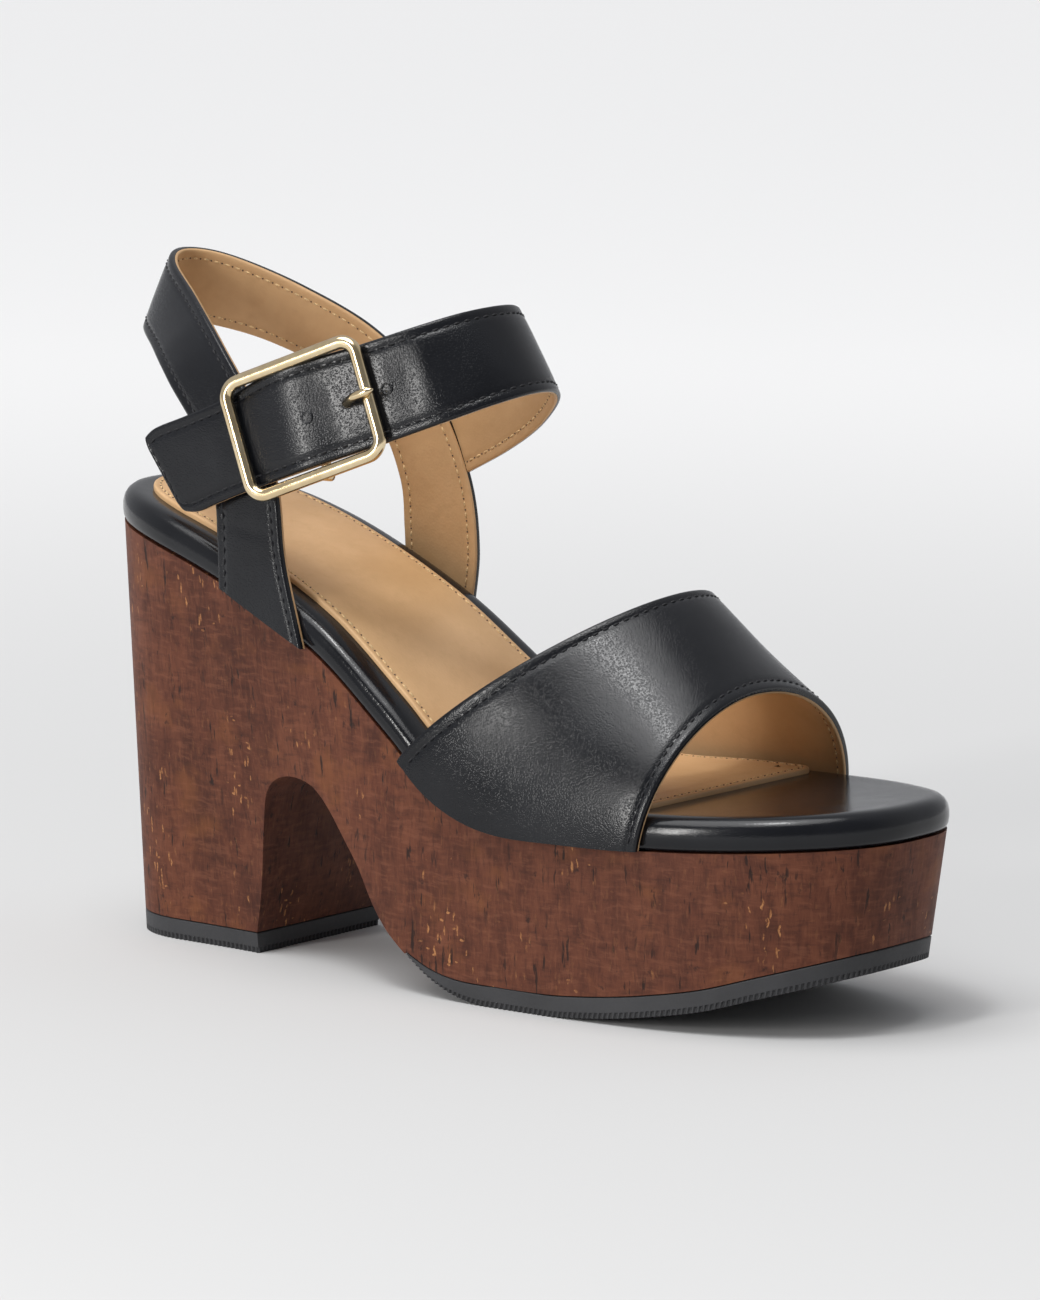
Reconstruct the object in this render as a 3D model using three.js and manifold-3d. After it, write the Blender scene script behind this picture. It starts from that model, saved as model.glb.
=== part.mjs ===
// Platform sandal, right foot: block heel and platform in one piece with an arch between them,
// leather-wrapped footbed, one wide vamp strap, and a heel strap with a buckled ankle strap.
// Millimetres, +Z up, +X from heel to toe, +Y to the medial (inner) side.
import * as THREE from 'three';
import Module from 'manifold-3d';
import { mergeVertices } from 'three/addons/utils/BufferGeometryUtils.js';

const wasm = await Module();
wasm.setup();

// Sole sizes
const LENGTH = 250;
const BALL_WIDTH = 91;
const HEEL_RISE = 114;
const BALL_RISE = 46;
const HEEL_CAP = 37;
const TOE_CAP = 66;
const HEEL_SQUARENESS = 2.3;
const TOE_SQUARENESS = 2.6;
const BASE_BACK_SET = 7;
const BASE_TOE_SET = 6.5;
const BASE_HEEL_CAP = 26;
const RUBBER = 5.6;
const RUBBER_TAPER = 30;
const RUBBER_TIP = 0.12;
const TOE_SPRING = 17.5;
const GAP = 0.3;

// Footbed and sock sizes
const FOOTBED_THICK = 8.8;
const FOOTBED_PROUD = 0.5;
const SOCK_INSET = 7.8;
const SOCK_BALL_INSET = 3.8;
const SOCK_THICK = 1.2;
const SOCK_FRONT = 0.761;
const SOCK_CORNER = 5;

// Strap sizes
const STRAP_WALL = 2.4;
const ANKLE_WALL = 2;
const VAMP_WALL = 2.4;
const VAMP_CREST = 50.5;
const BACK_REACH = 71;
const STRAP_EASE = 0.2;
const EDGE_ROUND = 0.6;

// Buckle sizes
const BUCKLE_LONG = 43;
const BUCKLE_TALL = 34.5;
const BUCKLE_BAR = 3.2;
const BUCKLE_DEPTH = 3.2;
const BUCKLE_CORNER = 6.2;
const CENTRE_BAR = 2.6;
const CENTRE_BAR_IN = 6.4;
const PRONG = 2.2;
const PRONG_EYE = 1.3;
const GORE_WALL = 1.2;
const GORE_WIDTH = 21;
const GORE_RETURN = 9;
const GORE_ROOT = 0.2;
const HOLE_EASE = 0.4;

// Outline of the footbed: shares of LENGTH, and of BALL_WIDTH to each side of the centre line
const FOOTPRINT = [
  { at: 0.00, lateral: 0.335, medial: 0.320 },
  { at: 0.18, lateral: 0.406, medial: 0.318 },
  { at: 0.36, lateral: 0.436, medial: 0.314 },
  { at: 0.52, lateral: 0.455, medial: 0.392 },
  { at: 0.66, lateral: 0.442, medial: 0.535 },
  { at: 0.80, lateral: 0.400, medial: 0.545 },
  { at: 1.00, lateral: 0.315, medial: 0.480 },
];

// Outline where the block meets the floor, in the same shares
const BASEPRINT = [
  { at: 0.00, lateral: 0.288, medial: 0.281 },
  { at: 0.26, lateral: 0.290, medial: 0.281 },
  { at: 0.46, lateral: 0.425, medial: 0.355 },
  { at: 0.66, lateral: 0.420, medial: 0.505 },
  { at: 0.80, lateral: 0.378, medial: 0.520 },
  { at: 1.00, lateral: 0.300, medial: 0.455 },
];

// Top line of the block: 0 is BALL_RISE and 1 is HEEL_RISE
const TOP_LINE = [
  { at: 0.00, rise: 1.000 },
  { at: 0.12, rise: 0.925 },
  { at: 0.24, rise: 0.790 },
  { at: 0.36, rise: 0.585 },
  { at: 0.46, rise: 0.315 },
  { at: 0.53, rise: 0.105 },
  { at: 0.60, rise: 0.010 },
  { at: 0.70, rise: 0.000 },
  { at: 0.80, rise: 0.010 },
  { at: 0.90, rise: 0.032 },
  { at: 1.00, rise: 0.060 },
];

// Underside of the forefoot: share of LENGTH, and of TOE_SPRING
const UNDERSIDE = [
  { at: 0.470, rise: 0.760 },
  { at: 0.489, rise: 0.550 },
  { at: 0.520, rise: 0.260 },
  { at: 0.554, rise: 0.070 },
  { at: 0.590, rise: 0.000 },
  { at: 0.665, rise: 0.000 },
  { at: 0.704, rise: 0.040 },
  { at: 0.739, rise: 0.095 },
  { at: 0.777, rise: 0.175 },
  { at: 0.838, rise: 0.345 },
  { at: 0.893, rise: 0.585 },
  { at: 1.000, rise: 1.050 },
];

// Arch between heel and forefoot: share of LENGTH, and of BALL_RISE
const ARCH = [
  { at: 0.248, up: 0.40 },
  { at: 0.261, up: 0.83 },
  { at: 0.269, up: 1.00 },
  { at: 0.287, up: 1.09 },
  { at: 0.313, up: 1.12 },
  { at: 0.342, up: 1.09 },
  { at: 0.366, up: 0.99 },
  { at: 0.392, up: 0.82 },
  { at: 0.414, up: 0.67 },
  { at: 0.434, up: 0.49 },
  { at: 0.453, up: 0.36 },
  { at: 0.470, up: 0.28 },
];
const HEEL_FRONT = 0.236;
const RUBBER_START = 0.486;

// Stretch of the sock's medial edge where it runs out to SOCK_BALL_INSET, in shares of LENGTH
const SOCK_WIDENS = [0.50, 0.68];

// Wrapped edge of the footbed, in shares of its thickness: inside its widest line, and up
const FOOTBED_EDGE = [
  { inset: 0.15, up: 0.00 },
  { inset: 0.02, up: 0.14 },
  { inset: 0.00, up: 0.42 },
  { inset: 0.06, up: 0.70 },
  { inset: 0.22, up: 0.89 },
  { inset: 0.48, up: 1.00 },
];

// Vamp strap: shares of LENGTH where it meets each edge and crosses the middle, of VAMP_CREST
// over the footbed, and of BALL_WIDTH from the centre line to its crest
const VAMP = [
  { lateral: 0.486, crest: 0.700, medial: 0.468, height: 1.000, middle: 0.09 },
  { lateral: 0.586, crest: 0.734, medial: 0.580, height: 0.871, middle: 0.07 },
  { lateral: 0.686, crest: 0.770, medial: 0.688, height: 0.713, middle: 0.05 },
  { lateral: 0.782, crest: 0.811, medial: 0.782, height: 0.543, middle: 0.03 },
];
const VAMP_RISE_POWER = 0.96;
const VAMP_SLANT_POWER = 1.1;

// Heel strap from its root up to the back of the heel, half of the loop.
// along: share of LENGTH, medial: the same on the medial half, out: share of the root's distance
// from the centre line, up: 0 at the block's edge and 1 at BACK_REACH over it
const HEEL_STRAP = {
  rear: [
    { along: 0.232, medial: 0.256, out: 1.000, up: 0.000 },
    { along: 0.229, medial: 0.254, out: 0.995, up: 0.140 },
    { along: 0.221, medial: 0.249, out: 0.975, up: 0.290 },
    { along: 0.190, medial: 0.220, out: 0.930, up: 0.450 },
    { along: 0.138, medial: 0.160, out: 0.830, up: 0.575 },
    { along: 0.082, medial: 0.096, out: 0.600, up: 0.660 },
    { along: 0.030, medial: 0.036, out: 0.320, up: 0.708 },
    { along: 0.010, medial: 0.010, out: 0.000, up: 0.720 },
  ],
  front: [
    { along: 0.350, medial: 0.346, out: 1.000, up: 0.000 },
    { along: 0.322, medial: 0.354, out: 0.990, up: 0.200 },
    { along: 0.308, medial: 0.343, out: 0.970, up: 0.390 },
    { along: 0.270, medial: 0.305, out: 0.920, up: 0.580 },
    { along: 0.206, medial: 0.230, out: 0.810, up: 0.745 },
    { along: 0.136, medial: 0.150, out: 0.580, up: 0.870 },
    { along: 0.068, medial: 0.074, out: 0.310, up: 0.970 },
    { along: 0.042, medial: 0.042, out: 0.000, up: 1.000 },
  ],
};

// Ankle strap from its medial root round the front of the ankle to its free tail.
// along: share of LENGTH, out: share of the heel strap's distance from the centre line at its root,
// up: share of BACK_REACH over the block's heel
const ANKLE_STRAP = [
  { low: { along: 0.296, out: 0.735, up: 0.105 }, high: { along: 0.252, out: 0.725, up: 0.442 } },
  { low: { along: 0.340, out: 0.735, up: 0.184 }, high: { along: 0.292, out: 0.730, up: 0.526 } },
  { low: { along: 0.399, out: 0.690, up: 0.286 }, high: { along: 0.351, out: 0.680, up: 0.633 } },
  { low: { along: 0.453, out: 0.590, up: 0.392 }, high: { along: 0.408, out: 0.560, up: 0.747 } },
  { low: { along: 0.504, out: 0.380, up: 0.506 }, high: { along: 0.454, out: 0.340, up: 0.836 } },
  { low: { along: 0.535, out: 0.120, up: 0.571 }, high: { along: 0.479, out: 0.100, up: 0.878 } },
  { low: { along: 0.546, out: -0.180, up: 0.586 }, high: { along: 0.486, out: -0.160, up: 0.886 } },
  { low: { along: 0.532, out: -0.450, up: 0.556 }, high: { along: 0.475, out: -0.420, up: 0.868 } },
  { low: { along: 0.496, out: -0.660, up: 0.494 }, high: { along: 0.447, out: -0.630, up: 0.824 } },
  { low: { along: 0.437, out: -0.810, up: 0.407 }, high: { along: 0.394, out: -0.785, up: 0.747 } },
  { low: { along: 0.385, out: -0.930, up: 0.335 }, high: { along: 0.344, out: -0.900, up: 0.665 } },
  { low: { along: 0.330, out: -1.030, up: 0.258 }, high: { along: 0.290, out: -0.990, up: 0.581 } },
  { low: { along: 0.279, out: -1.060, up: 0.192 }, high: { along: 0.240, out: -1.030, up: 0.509 } },
  { low: { along: 0.240, out: -1.060, up: 0.137 }, high: { along: 0.192, out: -1.035, up: 0.447 } },
  { low: { along: 0.212, out: -1.055, up: 0.097 }, high: { along: 0.150, out: -1.035, up: 0.390 } },
  { low: { along: 0.190, out: -1.050, up: 0.092 }, high: { along: 0.134, out: -1.040, up: 0.343 } },
];

// Rows of ANKLE_STRAP that lie under the buckle's front and back bars
const BUCKLE_ENDS = [9.3, 11.4];

// Prong from its eye to its tip: shares of the way along, and of the way out
const PRONG_ROUTE = [
  { along: -0.06, out: 0.00 },
  { along: 0.26, out: 0.10 },
  { along: 0.42, out: 0.28 },
  { along: 0.56, out: 0.58 },
  { along: 0.70, out: 0.86 },
  { along: 0.84, out: 1.00 },
  { along: 1.05, out: 1.00 },
];

// Number of steps in the curved forms
const CORNER_STEPS = 5;
const SOCK_CORNER_STEPS = 8;
const PRONG_STEPS = 16;
const EYE_STEPS = 14;
const GORE_LOOP_STEPS = 6;
const GORE_STEPS = 40;
const OUTLINE_STEPS = 40;
const HEEL_STRAP_STEPS = 56;
const ANKLE_STRAP_STEPS = 72;
const VAMP_STEPS = 8;
const VAMP_ARCH_STEPS = 40;
const ARCH_STEPS = 30;
const ROD_SIDES = 10;
const SMALL_STEP = 1e-3;

// Smooth curve through one column of a table
function column(rows, name) {
  const at = rows.map((row) => row.at);
  const value = rows.map((row) => row[name]);
  const slope = value.map((v, i) => {
    const before = Math.max(i - 1, 0);
    const after = Math.min(i + 1, rows.length - 1);
    return (value[after] - value[before]) / (at[after] - at[before]);
  });
  return (x) => {
    const share = THREE.MathUtils.clamp(x, at[0], at[at.length - 1]);
    let i = 0;
    while (i < at.length - 2 && share > at[i + 1]) i += 1;
    const span = at[i + 1] - at[i];
    const t = (share - at[i]) / span;
    const ease = t * t * (3 - 2 * t);
    const start = t * (1 - t) * (1 - t) * span * slope[i];
    const end = t * t * (t - 1) * span * slope[i + 1];
    return value[i] + (value[i + 1] - value[i]) * ease + start + end;
  };
}

// Closed body from points and triangles, with its faces pointing out
function body(points, triangles) {
  let volume = 0;
  for (const [a, b, c] of triangles) {
    volume += points[a].dot(new THREE.Vector3().crossVectors(points[b], points[c]));
  }
  const index = triangles.flatMap(([a, b, c]) => (volume > 0 ? [a, b, c] : [a, c, b]));
  const geometry = new THREE.BufferGeometry().setFromPoints(points);
  geometry.setIndex(index);
  return geometry;
}

function toManifold(geometry) {
  const plain = geometry.clone();
  plain.deleteAttribute('normal');
  plain.deleteAttribute('uv');
  const merged = mergeVertices(plain, 1e-4);
  const vertProperties = new Float32Array(merged.attributes.position.array);
  const triVerts = new Uint32Array(merged.index.array);
  return new wasm.Manifold(new wasm.Mesh({ numProp: 3, vertProperties, triVerts }));
}

function toGeometry(manifold) {
  const mesh = manifold.getMesh();
  const geometry = new THREE.BufferGeometry();
  geometry.setAttribute('position', new THREE.BufferAttribute(new Float32Array(mesh.vertProperties), 3));
  geometry.setIndex(new THREE.BufferAttribute(new Uint32Array(mesh.triVerts), 1));
  return geometry;
}

// Rings of equal length joined one after the other, with a fan over each open end
function loft(rings, closed = false) {
  const size = rings[0].length;
  const points = rings.flat();
  const triangles = [];
  const last = closed ? rings.length : rings.length - 1;
  for (let r = 0; r < last; r += 1) {
    const here = r * size;
    const next = ((r + 1) % rings.length) * size;
    for (let k = 0; k < size; k += 1) {
      const l = (k + 1) % size;
      triangles.push([here + k, here + l, next + l], [here + k, next + l, next + k]);
    }
  }
  if (!closed) {
    const end = (rings.length - 1) * size;
    for (let k = 1; k < size - 1; k += 1) {
      triangles.push([0, k + 1, k], [end, end + k, end + k + 1]);
    }
  }
  return body(points, triangles);
}

// Layers of one outline that runs heel, lateral side, toe, medial side; its lids follow the sides
function layered(layers) {
  const size = layers[0].length;
  const points = layers.flat();
  const triangles = [];
  for (let r = 0; r < layers.length - 1; r += 1) {
    for (let k = 0; k < size; k += 1) {
      const l = (k + 1) % size;
      const low = r * size;
      const high = low + size;
      triangles.push([low + k, low + l, high + l], [low + k, high + l, high + k]);
    }
  }
  const lid = (start, up) => {
    for (let k = 0; k < size / 2; k += 1) {
      const a = start + k;
      const b = start + k + 1;
      const c = start + ((size - k - 1) % size);
      const d = start + ((size - k) % size);
      if (b !== c) triangles.push(up ? [a, b, c] : [a, c, b]);
      if (a !== d) triangles.push(up ? [a, c, d] : [a, d, c]);
    }
  };
  lid(0, false);
  lid((layers.length - 1) * size, true);
  return body(points, triangles);
}

// Half width of an outline with rounded ends
function capShare(x, heelCap, toeCap) {
  const heel = THREE.MathUtils.clamp((heelCap - x) / heelCap, 0, 1);
  const toe = THREE.MathUtils.clamp((x - LENGTH + toeCap) / toeCap, 0, 1);
  const round = (t, power) => (1 - t ** power) ** (1 / power);
  return round(heel, HEEL_SQUARENESS) * round(toe, TOE_SQUARENESS);
}

const topRise = column(TOP_LINE, 'rise');
const topLine = (x) => BALL_RISE + (HEEL_RISE - BALL_RISE) * topRise(x / LENGTH);
const springRise = column(UNDERSIDE, 'rise');
const underside = (x) => TOE_SPRING * springRise(x / LENGTH);
const outlineSide = { lateral: column(FOOTPRINT, 'lateral'), medial: column(FOOTPRINT, 'medial') };
const baseSide = { lateral: column(BASEPRINT, 'lateral'), medial: column(BASEPRINT, 'medial') };
const sign = { lateral: -1, medial: 1 };

// The rounded ends close on the line halfway between the two sides
function edgePoint(table, side, x, heelCap, toeCap) {
  const lateral = -table.lateral(x / LENGTH) * BALL_WIDTH;
  const medial = table.medial(x / LENGTH) * BALL_WIDTH;
  const centre = (lateral + medial) / 2;
  const half = (medial - lateral) / 2;
  return centre + sign[side] * half * capShare(x, heelCap, toeCap);
}
const footEdge = (side, x) => edgePoint(outlineSide, side, x, HEEL_CAP, TOE_CAP);
const baseEdge = (side, x) => edgePoint(baseSide, side, x, BASE_HEEL_CAP, TOE_CAP);

function outline(edge) {
  const stations = [];
  for (let i = 0; i <= OUTLINE_STEPS; i += 1) {
    const turn = (Math.PI * i) / OUTLINE_STEPS;
    stations.push((LENGTH * (1 - Math.cos(turn))) / 2);
  }
  const lateral = stations.map((x) => new THREE.Vector2(x, edge('lateral', x)));
  const medial = stations.slice(1, -1).reverse().map((x) => new THREE.Vector2(x, edge('medial', x)));
  return lateral.concat(medial);
}
const footLoop = outline(footEdge);
const baseLoop = outline(baseEdge);

// Outline moved inwards, square to itself, by a distance for each point
function inset(loop, distanceAt) {
  return loop.map((point, i) => {
    const before = loop[(i + loop.length - 1) % loop.length];
    const after = loop[(i + 1) % loop.length];
    const along = after.clone().sub(before).normalize();
    const distance = distanceAt(point);
    return new THREE.Vector2(point.x - along.y * distance, point.y + along.x * distance);
  });
}

// Side view drawn in X and Z, pushed through the whole width
function profileCut(points) {
  const shape = new THREE.Shape(points);
  const geometry = new THREE.ExtrudeGeometry(shape, { depth: 2 * BALL_WIDTH, bevelEnabled: false });
  geometry.rotateX(Math.PI / 2);
  geometry.translate(0, BALL_WIDTH, 0);
  return toManifold(geometry);
}

function line(from, to, steps, height) {
  const points = [];
  for (let i = 0; i <= steps; i += 1) {
    const x = from + ((to - from) * i) / steps;
    points.push(new THREE.Vector2(x, height(x)));
  }
  return points;
}

// The block, ruled between its outline at the top and its outline on the floor
function soleBlock() {
  const span = LENGTH - BASE_BACK_SET - BASE_TOE_SET;
  const foot = baseLoop.map((p) => new THREE.Vector3(BASE_BACK_SET + (p.x / LENGTH) * span, p.y, 0));
  const top = footLoop.map((p) => new THREE.Vector3(p.x, p.y, topLine(p.x)));
  return toManifold(layered([foot, top]));
}

const heelFront = HEEL_FRONT * LENGTH;
const rubberStart = RUBBER_START * LENGTH;
const beyond = LENGTH + BASE_TOE_SET;
const above = HEEL_RISE + BALL_RISE;

// The forefoot's rubber starts thin and is at its full thickness after RUBBER_TAPER
function rubberThick(x) {
  const t = THREE.MathUtils.clamp((x - rubberStart) / RUBBER_TAPER, 0, 1);
  return RUBBER * (RUBBER_TIP + (1 - RUBBER_TIP) * Math.sin((Math.PI / 2) * t));
}

function platform() {
  const arch = new THREE.CatmullRomCurve3([
    new THREE.Vector3(heelFront, RUBBER + GAP, 0),
    ...ARCH.map((row) => new THREE.Vector3(row.at * LENGTH, row.up * BALL_RISE, 0)),
    new THREE.Vector3(rubberStart - GAP, underside(rubberStart), 0),
  ]);
  const archPoints = arch.getSpacedPoints(ARCH_STEPS).map((p) => new THREE.Vector2(p.x, p.y));
  const seat = line(rubberStart - GAP, beyond, OUTLINE_STEPS, (x) => underside(x) + rubberThick(x) + GAP);
  const side = profileCut([
    new THREE.Vector2(-BASE_TOE_SET, RUBBER + GAP),
    ...archPoints,
    ...seat,
    new THREE.Vector2(beyond, above),
    new THREE.Vector2(-BASE_TOE_SET, above),
  ]);
  return toGeometry(soleBlock().intersect(side));
}

function heelTopLift() {
  const side = profileCut([
    new THREE.Vector2(-BASE_TOE_SET, -RUBBER),
    new THREE.Vector2(heelFront, -RUBBER),
    new THREE.Vector2(heelFront, RUBBER),
    new THREE.Vector2(-BASE_TOE_SET, RUBBER),
  ]);
  return toGeometry(soleBlock().intersect(side));
}

function forefootRubber() {
  const bottom = line(rubberStart, beyond, OUTLINE_STEPS, (x) => Math.max(underside(x), 0));
  const top = line(beyond, rubberStart, OUTLINE_STEPS, (x) => underside(x) + rubberThick(x));
  return toGeometry(soleBlock().intersect(profileCut(bottom.concat(top))));
}

function footbed() {
  const layers = FOOTBED_EDGE.map(({ inset: distance, up }) => {
    const loop = inset(footLoop, () => distance * FOOTBED_THICK - FOOTBED_PROUD);
    return loop.map((p) => new THREE.Vector3(p.x, p.y, topLine(p.x) + GAP + up * FOOTBED_THICK));
  });
  return layered(layers);
}

// Distance from the footbed's outline to the sock's edge
function sockInset(point) {
  const wide = THREE.MathUtils.smoothstep(point.x / LENGTH, ...SOCK_WIDENS);
  return point.y > 0 ? SOCK_INSET + (SOCK_BALL_INSET - SOCK_INSET) * wide : SOCK_INSET;
}

function sockLining() {
  const under = FOOTBED_THICK + 2 * GAP;
  const layer = (further, height) => inset(footLoop, (point) => sockInset(point) + further)
    .map((p) => new THREE.Vector3(p.x, p.y, topLine(p.x) + height));
  const whole = toManifold(layered([
    layer(0, under),
    layer(0, under + SOCK_THICK / 2),
    layer(EDGE_ROUND, under + SOCK_THICK),
  ]));
  const front = SOCK_FRONT * LENGTH;
  const lateral = footEdge('lateral', front) + SOCK_INSET;
  const medial = footEdge('medial', front) - SOCK_BALL_INSET;
  const plan = new THREE.Shape();
  plan.moveTo(-SOCK_CORNER, -BALL_WIDTH);
  plan.lineTo(front - SOCK_CORNER, -BALL_WIDTH);
  plan.lineTo(front - SOCK_CORNER, lateral);
  plan.absarc(front - SOCK_CORNER, lateral + SOCK_CORNER, SOCK_CORNER, -Math.PI / 2, 0);
  plan.absarc(front - SOCK_CORNER, medial - SOCK_CORNER, SOCK_CORNER, 0, Math.PI / 2);
  plan.lineTo(front - SOCK_CORNER, BALL_WIDTH);
  plan.lineTo(-SOCK_CORNER, BALL_WIDTH);
  const keep = toManifold(new THREE.ExtrudeGeometry(plan, {
    depth: 2 * HEEL_RISE, bevelEnabled: false, curveSegments: SOCK_CORNER_STEPS,
  }));
  return toGeometry(whole.intersect(keep));
}

// A wall between two edges, with softened rims
function ribbonRings(low, high, wall, steps, wider = 0) {
  const rings = [];
  for (let i = 0; i <= steps; i += 1) {
    const t = i / steps;
    const a = low.getPoint(t);
    const b = high.getPoint(t);
    const across = b.clone().sub(a).normalize();
    a.addScaledVector(across, -wider);
    b.addScaledVector(across, wider);
    const along = low.getTangent(t).add(high.getTangent(t)).normalize();
    const out = new THREE.Vector3().crossVectors(along, across).normalize();
    const half = wall / 2;
    const spot = (base, inwards, height) => base.clone()
      .addScaledVector(across, inwards)
      .addScaledVector(out, height);
    rings.push([
      spot(a, EDGE_ROUND, half), spot(b, -EDGE_ROUND, half),
      spot(b, 0, half - EDGE_ROUND), spot(b, 0, EDGE_ROUND - half),
      spot(b, -EDGE_ROUND, -half), spot(a, EDGE_ROUND, -half),
      spot(a, 0, EDGE_ROUND - half), spot(a, 0, half - EDGE_ROUND),
    ]);
  }
  return rings;
}

function curveThrough(points) {
  return new THREE.CatmullRomCurve3(points, false, 'catmullrom', 0.5);
}

// Distance of the strap's middle from the centre line where it comes down outside the footbed
function strapRoot(side, x) {
  const from = HEEL_STRAP.rear[0].along * LENGTH;
  const clear = FOOTBED_PROUD + GAP + STRAP_EASE + STRAP_WALL / 2;
  return Math.abs(footEdge(side, Math.max(x, from))) + clear;
}

function heelStrapPoint(side, row) {
  const x = (side === 'medial' ? row.medial : row.along) * LENGTH;
  const foot = topLine(x) + GAP;
  const reach = HEEL_RISE + BACK_REACH;
  return new THREE.Vector3(x, sign[side] * strapRoot(side, x) * row.out, foot + (reach - foot) * row.up);
}

function heelStrapEdge(rows) {
  const lateral = rows.map((row) => heelStrapPoint('lateral', row));
  const medial = rows.slice(0, -1).reverse().map((row) => heelStrapPoint('medial', row));
  return curveThrough(lateral.concat(medial));
}
const heelRear = heelStrapEdge(HEEL_STRAP.rear);
const heelFrontEdge = heelStrapEdge(HEEL_STRAP.front);
const heelStrapMiddle = (t) => heelRear.getPoint(t).lerp(heelFrontEdge.getPoint(t), 0.5);

function heelStrap(clear) {
  const wall = STRAP_WALL + 2 * clear;
  return toManifold(loft(ribbonRings(heelRear, heelFrontEdge, wall, HEEL_STRAP_STEPS, clear)));
}

const ankleHalf = strapRoot('lateral', HEEL_STRAP.front[2].along * LENGTH);
const anklePoint = ({ along, out, up }) => new THREE.Vector3(
  along * LENGTH, out * ankleHalf, HEEL_RISE + up * BACK_REACH,
);
const ankleLow = curveThrough(ANKLE_STRAP.map((row) => anklePoint(row.low)));
const ankleHigh = curveThrough(ANKLE_STRAP.map((row) => anklePoint(row.high)));

function ankleStrap() {
  return toManifold(loft(ribbonRings(ankleLow, ankleHigh, ANKLE_WALL, ANKLE_STRAP_STEPS)));
}

function heelAndAnkleStrap() {
  return toGeometry(heelStrap(0).add(ankleStrap()).subtract(prong(HOLE_EASE)));
}

// Middle of the vamp's wall: t runs from back to front, turn from the lateral edge to the medial
function vampSurface() {
  const rows = VAMP.map((row, i) => ({ ...row, at: i / (VAMP.length - 1) }));
  const lateral = column(rows, 'lateral');
  const crest = column(rows, 'crest');
  const medial = column(rows, 'medial');
  const height = column(rows, 'height');
  const middle = column(rows, 'middle');
  const clear = FOOTBED_PROUD + GAP + STRAP_EASE + VAMP_WALL / 2;
  return (t, turn) => {
    const side = turn < 0.5 ? 'lateral' : 'medial';
    const lift = Math.sin(Math.PI * turn);
    const rootX = (side === 'lateral' ? lateral(t) : medial(t)) * LENGTH;
    const crestX = crest(t) * LENGTH;
    const x = rootX + (crestX - rootX) * lift ** VAMP_SLANT_POWER;
    const rootY = footEdge(side, x) + sign[side] * clear;
    const crestY = middle(t) * BALL_WIDTH;
    const y = crestY + (rootY - crestY) * Math.abs(Math.cos(Math.PI * turn));
    const rootZ = topLine(rootX) + GAP;
    const crestZ = topLine(crestX) + FOOTBED_THICK + VAMP_CREST * height(t);
    return new THREE.Vector3(x, y, rootZ + (crestZ - rootZ) * lift ** VAMP_RISE_POWER);
  };
}

function vampStrap() {
  const surface = vampSurface();
  const skins = [[], []];
  for (let i = 0; i <= VAMP_STEPS; i += 1) {
    for (let k = 0; k <= VAMP_ARCH_STEPS; k += 1) {
      const t = i / VAMP_STEPS;
      const turn = k / VAMP_ARCH_STEPS;
      const point = surface(t, turn);
      const lengthwise = surface(Math.min(t + SMALL_STEP, 1), turn)
        .sub(surface(Math.max(t - SMALL_STEP, 0), turn));
      const crosswise = surface(t, Math.min(turn + SMALL_STEP, 1))
        .sub(surface(t, Math.max(turn - SMALL_STEP, 0)));
      const out = new THREE.Vector3().crossVectors(crosswise, lengthwise).normalize();
      if (k === 0 || k === VAMP_ARCH_STEPS) out.setZ(0).normalize();
      skins[0].push(point.clone().addScaledVector(out, VAMP_WALL / 2));
      skins[1].push(point.clone().addScaledVector(out, -VAMP_WALL / 2));
    }
  }
  return shell(skins, VAMP_STEPS, VAMP_ARCH_STEPS);
}

// Two skins on the same grid, joined all round their border
function shell(skins, rows, steps) {
  const width = steps + 1;
  const offset = skins[0].length;
  const triangles = [];
  for (let i = 0; i < rows; i += 1) {
    for (let k = 0; k < steps; k += 1) {
      const a = i * width + k;
      const b = a + 1;
      const c = a + width + 1;
      const d = a + width;
      triangles.push([a, b, c], [a, c, d]);
      triangles.push([offset + a, offset + c, offset + b], [offset + a, offset + d, offset + c]);
    }
  }
  const border = [];
  for (let k = 0; k < steps; k += 1) border.push(k);
  for (let i = 0; i < rows; i += 1) border.push(i * width + steps);
  for (let k = steps; k > 0; k -= 1) border.push(rows * width + k);
  for (let i = rows; i > 0; i -= 1) border.push(i * width);
  border.forEach((a, i) => {
    const b = border[(i + 1) % border.length];
    triangles.push([b, a, offset + a], [b, offset + a, offset + b]);
  });
  return body(skins.flat(), triangles);
}

// Middle line of the ankle strap
const ankleMiddle = (t) => ankleLow.getPoint(t).lerp(ankleHigh.getPoint(t), 0.5);

// The buckle's own axes: u along the strap to the front of the ankle, v across it, w outwards
function buckleFrame() {
  const ends = BUCKLE_ENDS.map((row) => ankleMiddle(row / (ANKLE_STRAP.length - 1)));
  const middle = (BUCKLE_ENDS[0] + BUCKLE_ENDS[1]) / 2 / (ANKLE_STRAP.length - 1);
  const u = ends[0].clone().sub(ends[1]).normalize();
  const across = ankleHigh.getPoint(middle).sub(ankleLow.getPoint(middle));
  const w = new THREE.Vector3().crossVectors(u, across).normalize();
  const v = new THREE.Vector3().crossVectors(w, u);
  const lift = BUCKLE_DEPTH / 2 + GAP + ANKLE_WALL / 2;
  const origin = ends[0].clone().lerp(ends[1], 0.5).addScaledVector(w, lift);
  return (along, over, out) => origin.clone()
    .addScaledVector(u, along).addScaledVector(v, over).addScaledVector(w, out);
}
const atBuckle = buckleFrame();

// Round bar along points given in the buckle's axes
function rod(points, radius, steps) {
  const curve = curveThrough(points.map(([along, over, out]) => atBuckle(along, over, out)));
  const frames = curve.computeFrenetFrames(steps);
  const rings = [];
  for (let i = 0; i <= steps; i += 1) {
    const centre = curve.getPointAt(i / steps);
    rings.push(circle(centre, frames.normals[i], frames.binormals[i], radius, radius));
  }
  return toManifold(loft(rings));
}

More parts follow.
